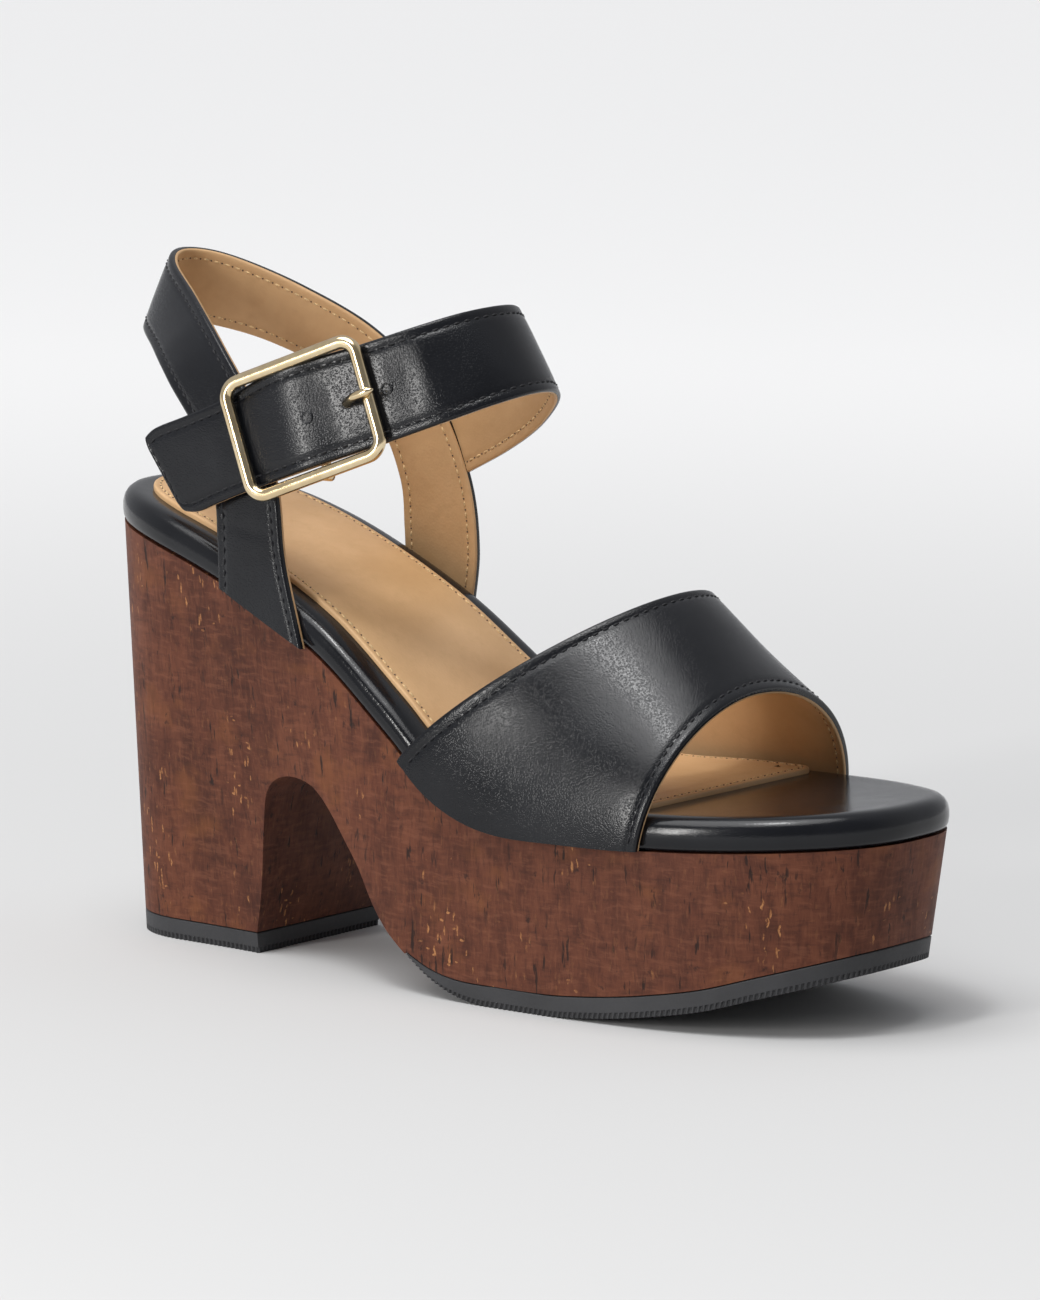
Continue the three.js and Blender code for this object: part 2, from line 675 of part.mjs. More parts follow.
function circle(centre, first, second, wide, deep) {
  const ring = [];
  for (let k = 0; k < ROD_SIDES; k += 1) {
    const turn = (2 * Math.PI * k) / ROD_SIDES;
    ring.push(centre.clone()
      .addScaledVector(first, Math.cos(turn) * wide)
      .addScaledVector(second, Math.sin(turn) * deep));
  }
  return ring;
}

// Closed bar round a rounded rectangle in the buckle's plane
function buckleRing() {
  const radius = BUCKLE_CORNER - BUCKLE_BAR / 2;
  const reach = [(BUCKLE_LONG - BUCKLE_BAR) / 2 - radius, (BUCKLE_TALL - BUCKLE_BAR) / 2 - radius];
  const corners = [[1, 1], [-1, 1], [-1, -1], [1, -1]];
  const rings = [];
  corners.forEach(([right, top], quarter) => {
    for (let k = 0; k <= CORNER_STEPS; k += 1) {
      const turn = (Math.PI / 2) * (quarter + k / CORNER_STEPS);
      const out = [Math.cos(turn), Math.sin(turn)];
      const centre = [right * reach[0] + out[0] * radius, top * reach[1] + out[1] * radius];
      const base = atBuckle(centre[0], centre[1], 0);
      const side = atBuckle(centre[0] + out[0], centre[1] + out[1], 0).sub(base);
      const up = atBuckle(centre[0], centre[1], 1).sub(base);
      rings.push(circle(base, side, up, BUCKLE_BAR / 2, BUCKLE_DEPTH / 2));
    }
  });
  return toManifold(loft(rings, true));
}

// Straight rod along the centre bar, its middle on the bar's axis
function barAlong(half, radius) {
  return rod([-half, 0, half].map((over) => [0, over, -CENTRE_BAR_IN]), radius, 2);
}

// Ring, the centre bar behind the strap, and the two posts that carry it
function buckle() {
  const side = (BUCKLE_TALL - BUCKLE_BAR) / 2;
  const radius = CENTRE_BAR / 2;
  const depth = CENTRE_BAR_IN + radius;
  const post = (over) => rod([0, -depth / 2, -depth].map((out) => [0, over, out]), radius, 2);
  return buckleRing().add(barAlong(side, radius)).add(post(side)).add(post(-side));
}

// The prong turns on the centre bar, passes out through the strap and rests on the front bar
function prong(extra) {
  const eye = CENTRE_BAR / 2 + GAP + PRONG / 2;
  const rest = BUCKLE_DEPTH / 2 + GAP + PRONG / 2;
  const end = BUCKLE_LONG / 2;
  const route = PRONG_ROUTE.map(({ along, out }) => [
    eye + along * (end - eye), 0, -CENTRE_BAR_IN + out * (rest + CENTRE_BAR_IN),
  ]);
  return rod(route, PRONG / 2 + extra, PRONG_STEPS);
}

function prongWithEye() {
  const eye = CENTRE_BAR / 2 + GAP + PRONG_EYE / 2;
  const centre = atBuckle(0, 0, -CENTRE_BAR_IN);
  const along = atBuckle(1, 0, 0).sub(atBuckle(0, 0, 0));
  const over = atBuckle(0, 1, 0).sub(atBuckle(0, 0, 0));
  const out = atBuckle(0, 0, 1).sub(atBuckle(0, 0, 0));
  const rings = [];
  for (let k = 0; k < EYE_STEPS; k += 1) {
    const turn = (2 * Math.PI * k) / EYE_STEPS;
    const spoke = along.clone().multiplyScalar(Math.cos(turn)).addScaledVector(out, Math.sin(turn));
    rings.push(circle(centre.clone().addScaledVector(spoke, eye), spoke, over, PRONG_EYE / 2, PRONG / 2));
  }
  return prong(0).add(toManifold(loft(rings, true)));
}

// Ribbed elastic from the front edge of the heel strap round the centre bar
function elasticGore() {
  const wrap = CENTRE_BAR / 2 + GAP + GORE_WALL / 2;
  const root = heelStrapMiddle(GORE_ROOT);
  const centre = atBuckle(0, 0, 0);
  const axis = (along, over, out) => atBuckle(along, over, out).sub(centre);
  const u = root.clone().sub(centre).dot(axis(1, 0, 0));
  const w = root.clone().sub(centre).dot(axis(0, 0, 1));
  const loop = [];
  for (let k = 0; k <= GORE_LOOP_STEPS; k += 1) {
    const turn = -Math.PI / 2 + (Math.PI * k) / GORE_LOOP_STEPS;
    loop.push([Math.cos(turn) * wrap, -CENTRE_BAR_IN + Math.sin(turn) * wrap]);
  }
  const path = [
    [u, w],
    [u / 2, (w - CENTRE_BAR_IN - wrap) / 2],
    ...loop,
    [-GORE_RETURN / 2, -CENTRE_BAR_IN + wrap],
    [-GORE_RETURN, -CENTRE_BAR_IN + wrap],
  ];
  const half = GORE_WIDTH / 2;
  const edge = (over) => curveThrough(path.map(([along, out]) => atBuckle(along, over, out)));
  const strip = toManifold(loft(ribbonRings(edge(-half), edge(half), GORE_WALL, GORE_STEPS)));
  const slot = barAlong(PRONG / 2 + HOLE_EASE, CENTRE_BAR / 2 + PRONG_EYE + 2 * HOLE_EASE);
  return strip.subtract(heelStrap(GAP)).subtract(slot);
}

const leather = new THREE.MeshStandardMaterial({ color: '#1c1d22', roughness: 0.42, metalness: 0 });
const lining = new THREE.MeshStandardMaterial({ color: '#b58f62', roughness: 0.6, metalness: 0 });
const cork = new THREE.MeshStandardMaterial({ color: '#4e2a22', roughness: 0.55, metalness: 0 });
const rubber = new THREE.MeshStandardMaterial({ color: '#34353a', roughness: 0.8, metalness: 0 });
const elastic = new THREE.MeshStandardMaterial({ color: '#17181c', roughness: 0.8, metalness: 0 });
const gold = new THREE.MeshStandardMaterial({ color: '#d8c08a', roughness: 0.25, metalness: 1 });

const sandal = new THREE.Group();
function piece(name, geometry, material) {
  const mesh = new THREE.Mesh(geometry, material);
  mesh.name = name;
  sandal.add(mesh);
  return mesh;
}

piece('platform', platform(), cork);
piece('heel_top_lift', heelTopLift(), rubber);
piece('forefoot_outsole', forefootRubber(), rubber);
piece('footbed', footbed(), leather);
piece('sock_lining', sockLining(), lining);
piece('vamp_strap', vampStrap(), leather);
piece('heel_and_ankle_strap', heelAndAnkleStrap(), leather);
piece('elastic_gore', toGeometry(elasticGore()), elastic);
piece('buckle_frame', toGeometry(buckle()), gold);
piece('buckle_prong', toGeometry(prongWithEye()), gold);

// The origin is on the floor, under the middle of the sandal's box
const bounds = new THREE.Box3().setFromObject(sandal);
sandal.position.set(-(bounds.min.x + bounds.max.x) / 2, -(bounds.min.y + bounds.max.y) / 2, 0);

export default sandal;
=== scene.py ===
# Looks of the right platform sandal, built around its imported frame. Metres, +X to the toe, +Z up.
import math

import bmesh
import bpy
import numpy as np
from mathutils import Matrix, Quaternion, Vector


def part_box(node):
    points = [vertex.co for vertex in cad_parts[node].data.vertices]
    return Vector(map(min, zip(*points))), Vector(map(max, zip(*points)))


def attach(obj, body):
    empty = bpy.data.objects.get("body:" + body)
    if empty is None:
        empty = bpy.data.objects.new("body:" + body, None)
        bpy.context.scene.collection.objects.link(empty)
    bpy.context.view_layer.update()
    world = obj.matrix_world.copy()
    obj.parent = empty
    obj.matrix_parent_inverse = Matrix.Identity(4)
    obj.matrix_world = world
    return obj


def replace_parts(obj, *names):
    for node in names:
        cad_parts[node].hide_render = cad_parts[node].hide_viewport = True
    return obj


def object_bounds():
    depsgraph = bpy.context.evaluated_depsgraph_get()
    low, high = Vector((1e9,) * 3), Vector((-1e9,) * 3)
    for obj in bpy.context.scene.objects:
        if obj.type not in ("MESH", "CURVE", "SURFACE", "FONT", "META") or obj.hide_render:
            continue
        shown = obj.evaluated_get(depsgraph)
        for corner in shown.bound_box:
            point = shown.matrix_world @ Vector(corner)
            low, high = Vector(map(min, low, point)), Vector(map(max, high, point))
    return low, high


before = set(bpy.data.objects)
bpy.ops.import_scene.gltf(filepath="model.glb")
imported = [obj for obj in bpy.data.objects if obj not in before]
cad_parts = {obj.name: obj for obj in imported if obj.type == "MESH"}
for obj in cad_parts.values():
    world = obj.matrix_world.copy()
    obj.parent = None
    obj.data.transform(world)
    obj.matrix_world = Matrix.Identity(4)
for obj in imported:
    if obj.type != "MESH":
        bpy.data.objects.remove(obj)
cad_low, cad_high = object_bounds()

MM = 0.001

# Sizes from the frame
BLOCK_LOW, BLOCK_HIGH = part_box("platform")
LENGTH = BLOCK_HIGH.x - BLOCK_LOW.x
HEEL_RISE = BLOCK_HIGH.z
BACK = BLOCK_LOW.x

# Sole sizes
BALL_WIDTH = 91 * MM
BALL_RISE = 46 * MM
HEEL_CAP = 37 * MM
TOE_CAP = 66 * MM
HEEL_SQUARENESS = 2.3
TOE_SQUARENESS = 2.6
BASE_BACK_SET = 7 * MM
BASE_TOE_SET = 6.5 * MM
BASE_HEEL_CAP = 26 * MM
RUBBER = 5.6 * MM
RUBBER_TAPER = 30 * MM
RUBBER_TIP = 0.12
TOE_SPRING = 17.5 * MM
GAP = 0.3 * MM
HEEL_FRONT = 0.236 * LENGTH
RUBBER_START = 0.486 * LENGTH
FOOTBED_THICK = 8.8 * MM
FOOTBED_PROUD = 0.5 * MM
SOCK_INSET = 7.8 * MM
SOCK_BALL_INSET = 3.8 * MM
SOCK_WIDENS = (0.50, 0.68)
SOCK_THICK = 1.2 * MM
SOCK_FRONT = 0.761 * LENGTH
SOCK_CORNER = 5 * MM

# Strap sizes
STRAP_WALL = 2.4 * MM
ANKLE_WALL = 2 * MM
VAMP_WALL = 2.4 * MM
VAMP_CREST = 50.5 * MM
LINING = 0.9 * MM
BACK_REACH = 71 * MM
STRAP_EASE = 0.2 * MM
STITCH_IN = 2.6 * MM
STITCH_PITCH = 3.0 * MM
STITCH_LONG = 2.3 * MM
STITCH_THICK = 0.62 * MM
# Size and sink of the dark dots that paint the shade in the needle holes
HOLE_SHADE_LONG = 0.9 * MM
HOLE_SHADE_THICK = 0.62 * MM
HOLE_SHADE_SINK = 0.12 * MM

# Buckle sizes
BUCKLE_LONG = 43 * MM
BUCKLE_TALL = 34.5 * MM
BUCKLE_BAR = 3.5 * MM
BUCKLE_DEPTH = 3.2 * MM
BUCKLE_CORNER = 6.2 * MM
CENTRE_BAR = 2.6 * MM
CENTRE_BAR_IN = 6.4 * MM
PRONG = 2.6 * MM
PRONG_EYE = 1.3 * MM
GORE_WALL = 1.2 * MM
GORE_WIDTH = 21 * MM
GORE_RETURN = 9 * MM
GORE_ROOT = 0.2

# Shares of LENGTH, then shares of BALL_WIDTH to the lateral and the medial side
FOOTPRINT = [
    (0.0, 0.335, 0.32), (0.18, 0.406, 0.318), (0.36, 0.436, 0.314), (0.52, 0.455, 0.392),
    (0.66, 0.442, 0.535), (0.8, 0.4, 0.545), (1.0, 0.315, 0.48),
]
BASEPRINT = [
    (0.0, 0.288, 0.281), (0.26, 0.29, 0.281), (0.46, 0.425, 0.355),
    (0.66, 0.42, 0.505), (0.8, 0.378, 0.52), (1.0, 0.3, 0.455),
]
# Share of LENGTH, and rise from BALL_RISE to HEEL_RISE
TOP_LINE = [
    (0.0, 1.0), (0.12, 0.925), (0.24, 0.79), (0.36, 0.585), (0.46, 0.315), (0.53, 0.105),
    (0.6, 0.01), (0.7, 0.0), (0.8, 0.01), (0.9, 0.032), (1.0, 0.06),
]
# Share of LENGTH, and of TOE_SPRING
UNDERSIDE = [
    (0.47, 0.76), (0.489, 0.55), (0.52, 0.26), (0.554, 0.07), (0.59, 0.0), (0.665, 0.0),
    (0.704, 0.04), (0.739, 0.095), (0.777, 0.175), (0.838, 0.345), (0.893, 0.585), (1.0, 1.05),
]
# Share of LENGTH, and of BALL_RISE
ARCH = [
    (0.248, 0.4), (0.261, 0.83), (0.269, 1.0), (0.287, 1.09), (0.313, 1.12), (0.342, 1.09),
    (0.366, 0.99), (0.392, 0.82), (0.414, 0.67), (0.434, 0.49), (0.453, 0.36), (0.47, 0.28),
]
# Inset of the footbed's skin in mm, and its height as a share of the footbed's thickness
FOOTBED_EDGE = [
    (1.6, 0.0), (0.7, 0.05), (0.2, 0.16), (0.0, 0.34), (0.05, 0.52), (0.45, 0.7),
    (1.2, 0.84), (2.3, 0.94), (3.8, 0.99), (5.5, 1.0), (8.0, 0.99),
]
# lateral, crest, medial as shares of LENGTH, height of VAMP_CREST, middle of BALL_WIDTH
VAMP = [
    (0.486, 0.7, 0.468, 1.0, 0.09), (0.586, 0.734, 0.58, 0.871, 0.07),
    (0.686, 0.77, 0.688, 0.713, 0.05), (0.782, 0.811, 0.782, 0.543, 0.03),
]
VAMP_RISE_POWER = 0.96
VAMP_SLANT_POWER = 1.1
# along on the lateral half, along on the medial half, share out, share up
HEEL_REAR = [
    (0.232, 0.256, 1.0, 0.0), (0.229, 0.254, 0.995, 0.14), (0.221, 0.249, 0.975, 0.29),
    (0.19, 0.22, 0.93, 0.45), (0.138, 0.16, 0.83, 0.575), (0.082, 0.096, 0.6, 0.66),
    (0.03, 0.036, 0.32, 0.708), (0.01, 0.01, 0.0, 0.72),
]
HEEL_FORE = [
    (0.35, 0.346, 1.0, 0.0), (0.322, 0.354, 0.99, 0.2), (0.308, 0.343, 0.97, 0.39),
    (0.27, 0.305, 0.92, 0.58), (0.206, 0.23, 0.81, 0.745), (0.136, 0.15, 0.58, 0.87),
    (0.068, 0.074, 0.31, 0.97), (0.042, 0.042, 0.0, 1.0),
]
# along, out and up of the low edge, then of the high edge
ANKLE = [
    (0.296, 0.735, 0.105, 0.252, 0.725, 0.442), (0.34, 0.735, 0.184, 0.292, 0.73, 0.526),
    (0.399, 0.69, 0.286, 0.351, 0.68, 0.633), (0.453, 0.59, 0.392, 0.408, 0.56, 0.747),
    (0.504, 0.38, 0.506, 0.454, 0.34, 0.836), (0.535, 0.12, 0.571, 0.479, 0.1, 0.878),
    (0.546, -0.18, 0.586, 0.486, -0.16, 0.886), (0.532, -0.45, 0.556, 0.475, -0.42, 0.868),
    (0.496, -0.66, 0.494, 0.447, -0.63, 0.824), (0.437, -0.81, 0.407, 0.394, -0.785, 0.747),
    (0.385, -0.93, 0.335, 0.344, -0.9, 0.665), (0.33, -1.03, 0.258, 0.29, -0.99, 0.581),
    (0.279, -1.06, 0.192, 0.24, -1.03, 0.509), (0.24, -1.06, 0.137, 0.192, -1.035, 0.447),
    (0.212, -1.055, 0.097, 0.15, -1.035, 0.39), (0.19, -1.05, 0.092, 0.134, -1.04, 0.343),
]
BUCKLE_ENDS = (9.3, 11.4)
PRONG_ROUTE = [
    (-0.06, 0.0), (0.26, 0.1), (0.42, 0.28), (0.56, 0.58), (0.7, 0.86), (0.84, 1.0), (1.09, 1.0),
]
SIGN = {"lateral": -1, "medial": 1}


def column(rows, index):
    """Smooth curve through one column of a table, against its first column."""
    at, value = np.array(rows, float)[:, [0, index]].T
    before = np.maximum(np.arange(len(at)) - 1, 0)
    after = np.minimum(np.arange(len(at)) + 1, len(at) - 1)
    slope = (value[after] - value[before]) / (at[after] - at[before])

    def curve(x):
        share = np.clip(x, at[0], at[-1])
        i = np.clip(np.searchsorted(at, share) - 1, 0, len(at) - 2)
        span = at[i + 1] - at[i]
        t = (share - at[i]) / span
        start = t * (1 - t) ** 2 * span * slope[i]
        end = t * t * (t - 1) * span * slope[i + 1]
        return value[i] + (value[i + 1] - value[i]) * t * t * (3 - 2 * t) + start + end
    return curve


def catmull(points, t):
    """Points of a uniform Catmull-Rom curve at shares t of the way."""
    p = np.asarray(points, float)
    p = np.vstack([2 * p[0] - p[1], p, 2 * p[-1] - p[-2]])
    s = np.clip(np.asarray(t, float), 0, 1) * (len(p) - 3)
    i = np.minimum(s.astype(int), len(p) - 4)
    u = (s - i)[..., None]
    a, b, c, d = p[i], p[i + 1], p[i + 2], p[i + 3]
    return 0.5 * (2 * b + (c - a) * u + (2 * a - 5 * b + 4 * c - d) * u ** 2
                  + (3 * b - a - 3 * c + d) * u ** 3)


def unit(v):
    return v / np.maximum(np.linalg.norm(v, axis=-1, keepdims=True), 1e-12)


top_rise = column(TOP_LINE, 1)
spring_rise = column(UNDERSIDE, 1)


def top_line(x):
    return BALL_RISE + (HEEL_RISE - BALL_RISE) * top_rise(x / LENGTH)


def underside(x):
    return TOE_SPRING * spring_rise(x / LENGTH)


def edge_of(table, heel_cap):
    """Distance of an outline from the centre line, by side and x; its ends are rounded."""
    lateral_share, medial_share = column(table, 1), column(table, 2)

    def edge(side, x):
        lateral = -lateral_share(x / LENGTH) * BALL_WIDTH
        medial = medial_share(x / LENGTH) * BALL_WIDTH
        heel = np.clip((heel_cap - x) / heel_cap, 0, 1)
        toe = np.clip((x - LENGTH + TOE_CAP) / TOE_CAP, 0, 1)
        cap = (1 - heel ** HEEL_SQUARENESS) ** (1 / HEEL_SQUARENESS)
        cap = cap * (1 - toe ** TOE_SQUARENESS) ** (1 / TOE_SQUARENESS)
        return (lateral + medial) / 2 + SIGN[side] * (medial - lateral) / 2 * cap
    return edge


foot_edge = edge_of(FOOTPRINT, HEEL_CAP)
base_edge = edge_of(BASEPRINT, BASE_HEEL_CAP)

# The frame's centre lies a little beside the sandal's centre line
STATIONS = LENGTH * (1 - np.cos(np.pi * np.arange(41) / 40)) / 2
CENTRE_Y = BLOCK_HIGH.y - float(foot_edge("medial", STATIONS).max())


def placed(points):
    """Sandal coordinates, with x from the back of the heel, to the frame's."""
    return np.asarray(points, float) + np.array([BACK, CENTRE_Y, 0.0])


def make(name, points, faces, look, *seal):
    """A smooth object on the sandal's body, from points in sandal coordinates; seal is for weld."""
    material, slot = look
    mesh = bpy.data.meshes.new(name)
    mesh.from_pydata([tuple(p) for p in placed(points)], [], faces)
    mesh.validate()
    mesh.update()
    obj = bpy.data.objects.new(name, mesh)
    bpy.context.scene.collection.objects.link(obj)
    mesh.materials.append(material)
    mesh.polygons.foreach_set("use_smooth", [True] * len(mesh.polygons))
    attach(obj, "root")
    if seal:
        weld(obj, *seal)
    return obj


def weld(obj, distance, sharp=None):
    """Joins points that lie together, turns the faces outwards, and marks edges over sharp degrees."""
    shape = bmesh.new()
    shape.from_mesh(obj.data)
    bmesh.ops.remove_doubles(shape, verts=shape.verts, dist=distance)
    bmesh.ops.dissolve_degenerate(shape, edges=shape.edges, dist=distance)
    bmesh.ops.recalc_face_normals(shape, faces=shape.faces)
    shape.to_mesh(obj.data)
    shape.free()
    obj.data.update()
    if sharp:
        obj.data.set_sharp_from_angle(angle=math.radians(sharp))


def grid_faces(rows, columns, close_rows=False, close_columns=False):
    """Quads of a grid of points whose rows run one after the other."""
    faces = []
    for r in range(rows if close_rows else rows - 1):
        below, above = r * columns, (r + 1) % rows * columns
        for c in range(columns if close_columns else columns - 1):
            d = (c + 1) % columns
            faces.append((below + c, below + d, above + d, above + c))
    return faces


def end_faces(rings, sides):
    """Closes both ends of a tube."""
    last = (rings - 1) * sides
    return [tuple(range(sides))[::-1], tuple(range(last, last + sides))]


def shell(face, back):
    """Closed sheet between two grids of points."""
    rows, columns = face.shape[:2]
    shift = rows * columns
    faces = grid_faces(rows, columns)
    faces += [tuple(shift + i for i in quad[::-1]) for quad in faces]
    border = list(range(columns))
    border += [r * columns + columns - 1 for r in range(1, rows)]
    border += [(rows - 1) * columns + c for c in range(columns - 2, -1, -1)]
    border += [r * columns for r in range(rows - 2, 0, -1)]
    faces += [(b, a, shift + a, shift + b) for a, b in zip(border, border[1:] + border[:1])]
    return np.vstack([face.reshape(-1, 3), back.reshape(-1, 3)]), faces


def merge(*parts):
    """Several (points, faces) as one."""
    points, faces, start = [], [], 0
    for some, those in parts:
        points.append(np.asarray(some, float).reshape(-1, 3))
        faces += [tuple(start + i for i in face) for face in those]
        start += len(points[-1])
    return np.vstack(points), faces


def reaches(path):
    """Length along an open path up to each of its points."""
    return np.concatenate([[0], np.cumsum(np.linalg.norm(np.diff(path, axis=0), axis=1))])


def rows_at(where, reach, values):
    """Rows of values, which stand at the given reaches, at other places between them."""
    return np.stack([np.interp(where, reach, values[:, i]) for i in range(values.shape[1])], 1)


def resampled(path, count):
    """Points at even steps along an open path."""
    reach = reaches(path)
    return rows_at(np.linspace(0, reach[-1], count), reach, path)


def outline(side_edge, steps):
    """Closed outline: heel, lateral side, toe, medial side."""
    turn = np.pi * np.arange(steps + 1) / steps
    x = LENGTH * (1 - np.cos(turn)) / 2
    lateral = np.stack([x, side_edge("lateral", x)], 1)
    medial = np.stack([x, side_edge("medial", x)], 1)[1:-1][::-1]
    return np.vstack([lateral, medial])


def left_of(along):
    return np.stack([-along[:, 1], along[:, 0]], 1)


def inward(loop):
    """Directions to the left of a closed path, which are inwards on an outline."""
    return left_of(unit(np.roll(loop, -1, 0) - np.roll(loop, 1, 0)))


def inset(loop, distance):
    return loop + inward(loop) * np.reshape(distance, (-1, 1))


def turns(count):
    return 2 * np.pi * np.arange(count) / count


class Nodes:
    """A new material or world, its nodes written as short calls."""

    def __init__(self, name, kind=bpy.data.materials, shader="Principled BSDF", place="Object"):
        self.owner = kind.new(name)
        self.owner.use_nodes = True
        self.tree = self.owner.node_tree
        self.shader = self.tree.nodes[shader]
        self.place = self.node("TexCoord").outputs[place]

    def put(self, socket, value):
        if isinstance(value, bpy.types.NodeSocket):
            self.tree.links.new(value, socket)
        else:
            socket.default_value = value

    def node(self, kind, inputs=(), **settings):
        """A new node, its settings, and its inputs by name or number."""
        node = self.tree.nodes.new("ShaderNode" + kind)
        for key, value in settings.items():
            setattr(node, key, value)
        for key, value in dict(inputs).items():
            self.put(node.inputs[key], value)
        return node

    def set(self, **sockets):
        for name, value in sockets.items():
            self.put(self.shader.inputs[name.replace("_", " ")], value)
        return self.owner

    def stretched(self, scale, place=None):
        return self.node("Mapping", {"Vector": place or self.place, "Scale": scale}).outputs["Vector"]

    def wobbled(self, place, scale, amount):
        """The same place, moved about by noise so that what is laid on it isn't regular."""
        noise = self.node("TexNoise", {"Vector": place, "Scale": scale}).outputs["Color"]
        moved = {0: noise, 1: (amount, amount, amount), 2: place}
        return self.node("VectorMath", moved, operation="MULTIPLY_ADD").outputs["Vector"]

    def noise(self, scale, detail, rough, place=None):
        inputs = {"Vector": place or self.place, "Scale": scale, "Detail": detail, "Roughness": rough}
        return self.node("TexNoise", inputs).outputs["Fac"]

    def streaks(self, stretch, place=None, detail=3, rough=0.6):
        """Noise that is finer along some axes than along others."""
        return self.noise(1.0, detail, rough, self.stretched(stretch, place))

    def cells(self, scale, place=None, output="Distance"):
        inputs = {"Vector": place or self.place, "Scale": scale}
        return self.node("TexVoronoi", inputs).outputs[output]

    def fleck(self, place, share):
        """Small separate marks: the middles of cells, the given share of the cells left out."""
        near = self.mask(self.cells(1.0, place), 0.34, 0.20)
        return self.times(near, self.mask(self.cells(1.0, place, "Color"), share, share + 0.03))

    def ramp(self, value, *stops):
        node = self.node("ValToRGB", {"Fac": value})
        elements = node.color_ramp.elements
        while len(elements) < len(stops):
            elements.new(0.5)
        for element, (at, colour) in zip(elements, stops):
            element.position = at
            element.color = (*colour, 1)
        return node.outputs["Color"]

    def mask(self, value, low, high, start=0.0, end=1.0):
        """Smooth step from start to end while the value goes from low to high."""
        inputs = {"Value": value, "From Min": low, "From Max": high, "To Min": start, "To Max": end}
        return self.node("MapRange", inputs, interpolation_type="SMOOTHSTEP").outputs["Result"]

    def span(self, value, low, high):
        """A 0 to 1 value spread from low to high."""
        return self.node("MapRange", {"Value": value, "To Min": low, "To Max": high}).outputs["Result"]

    def math(self, kind, a, b):
        return self.node("Math", {0: a, 1: b}, operation=kind).outputs[0]

    def times(self, a, b):
        return self.math("MULTIPLY", a, b)

    def mix(self, share, *colours):
        a, b = (c if isinstance(c, bpy.types.NodeSocket) else (*c, 1) for c in colours)
        return self.node("Mix", {"Factor": share, 6: a, 7: b}, data_type="RGBA").outputs[2]

    def bump(self, height, distance, strength, under=None):
        inputs = {"Strength": strength, "Distance": distance, "Height": height}
        if under is not None:
            inputs["Normal"] = under
        return self.node("Bump", inputs).outputs["Normal"]


def toned(tone, *colour):
    return tuple(tone * c for c in colour)


def black_leather(name, rough, grain=1.0):
    """Black leather with a fine grain that shows in its highlights, and soft uneven gloss."""
    n = Nodes(name)
    pores = n.cells(2000, n.wobbled(n.place, 300, 0.9 * MM))
    grains = n.noise(2300, 3, 0.6)
    broad = n.noise(38, 3, 0.5)
    colour = n.mix(n.mask(broad, 0.3, 0.75), (0.0042, 0.0047, 0.0065), (0.0080, 0.0088, 0.0112))
    roughness = n.math("ADD", n.span(grains, rough - 0.08, rough + 0.08),
                       n.times(n.math("SUBTRACT", broad, 0.5), 0.18))
    fine = n.bump(n.mask(pores, 0.05, 0.6), 0.045 * MM * grain, 0.75)
    fine = n.bump(grains, 0.04 * MM * grain, 0.7, fine)
    soft = n.bump(n.noise(120, 2, 0.5), 0.22 * MM, 0.25, fine)
    return n.set(Base_Color=colour, Roughness=roughness, Normal=soft, Specular_IOR_Level=0.33)


def tan_leather(name, tone, rough=0.52):
    n = Nodes(name)
    mottle = n.noise(210, 4, 0.6)
    colour = n.mix(n.mask(n.noise(26, 4, 0.55), 0.32, 0.7),
                   toned(tone, 0.47, 0.285, 0.135), toned(tone, 0.60, 0.385, 0.20))
    colour = n.mix(n.times(n.mask(mottle, 0.45, 0.75), 0.22), colour, toned(tone, 0.38, 0.22, 0.10))
    fine = n.bump(n.cells(1300), 0.05 * MM, 0.5)
    soft = n.bump(n.noise(420, 3, 0.5), 0.09 * MM, 0.5, fine)
    return n.set(Base_Color=colour, Roughness=n.span(mottle, rough - 0.06, rough + 0.12), Normal=soft,
                 Specular_IOR_Level=0.4)


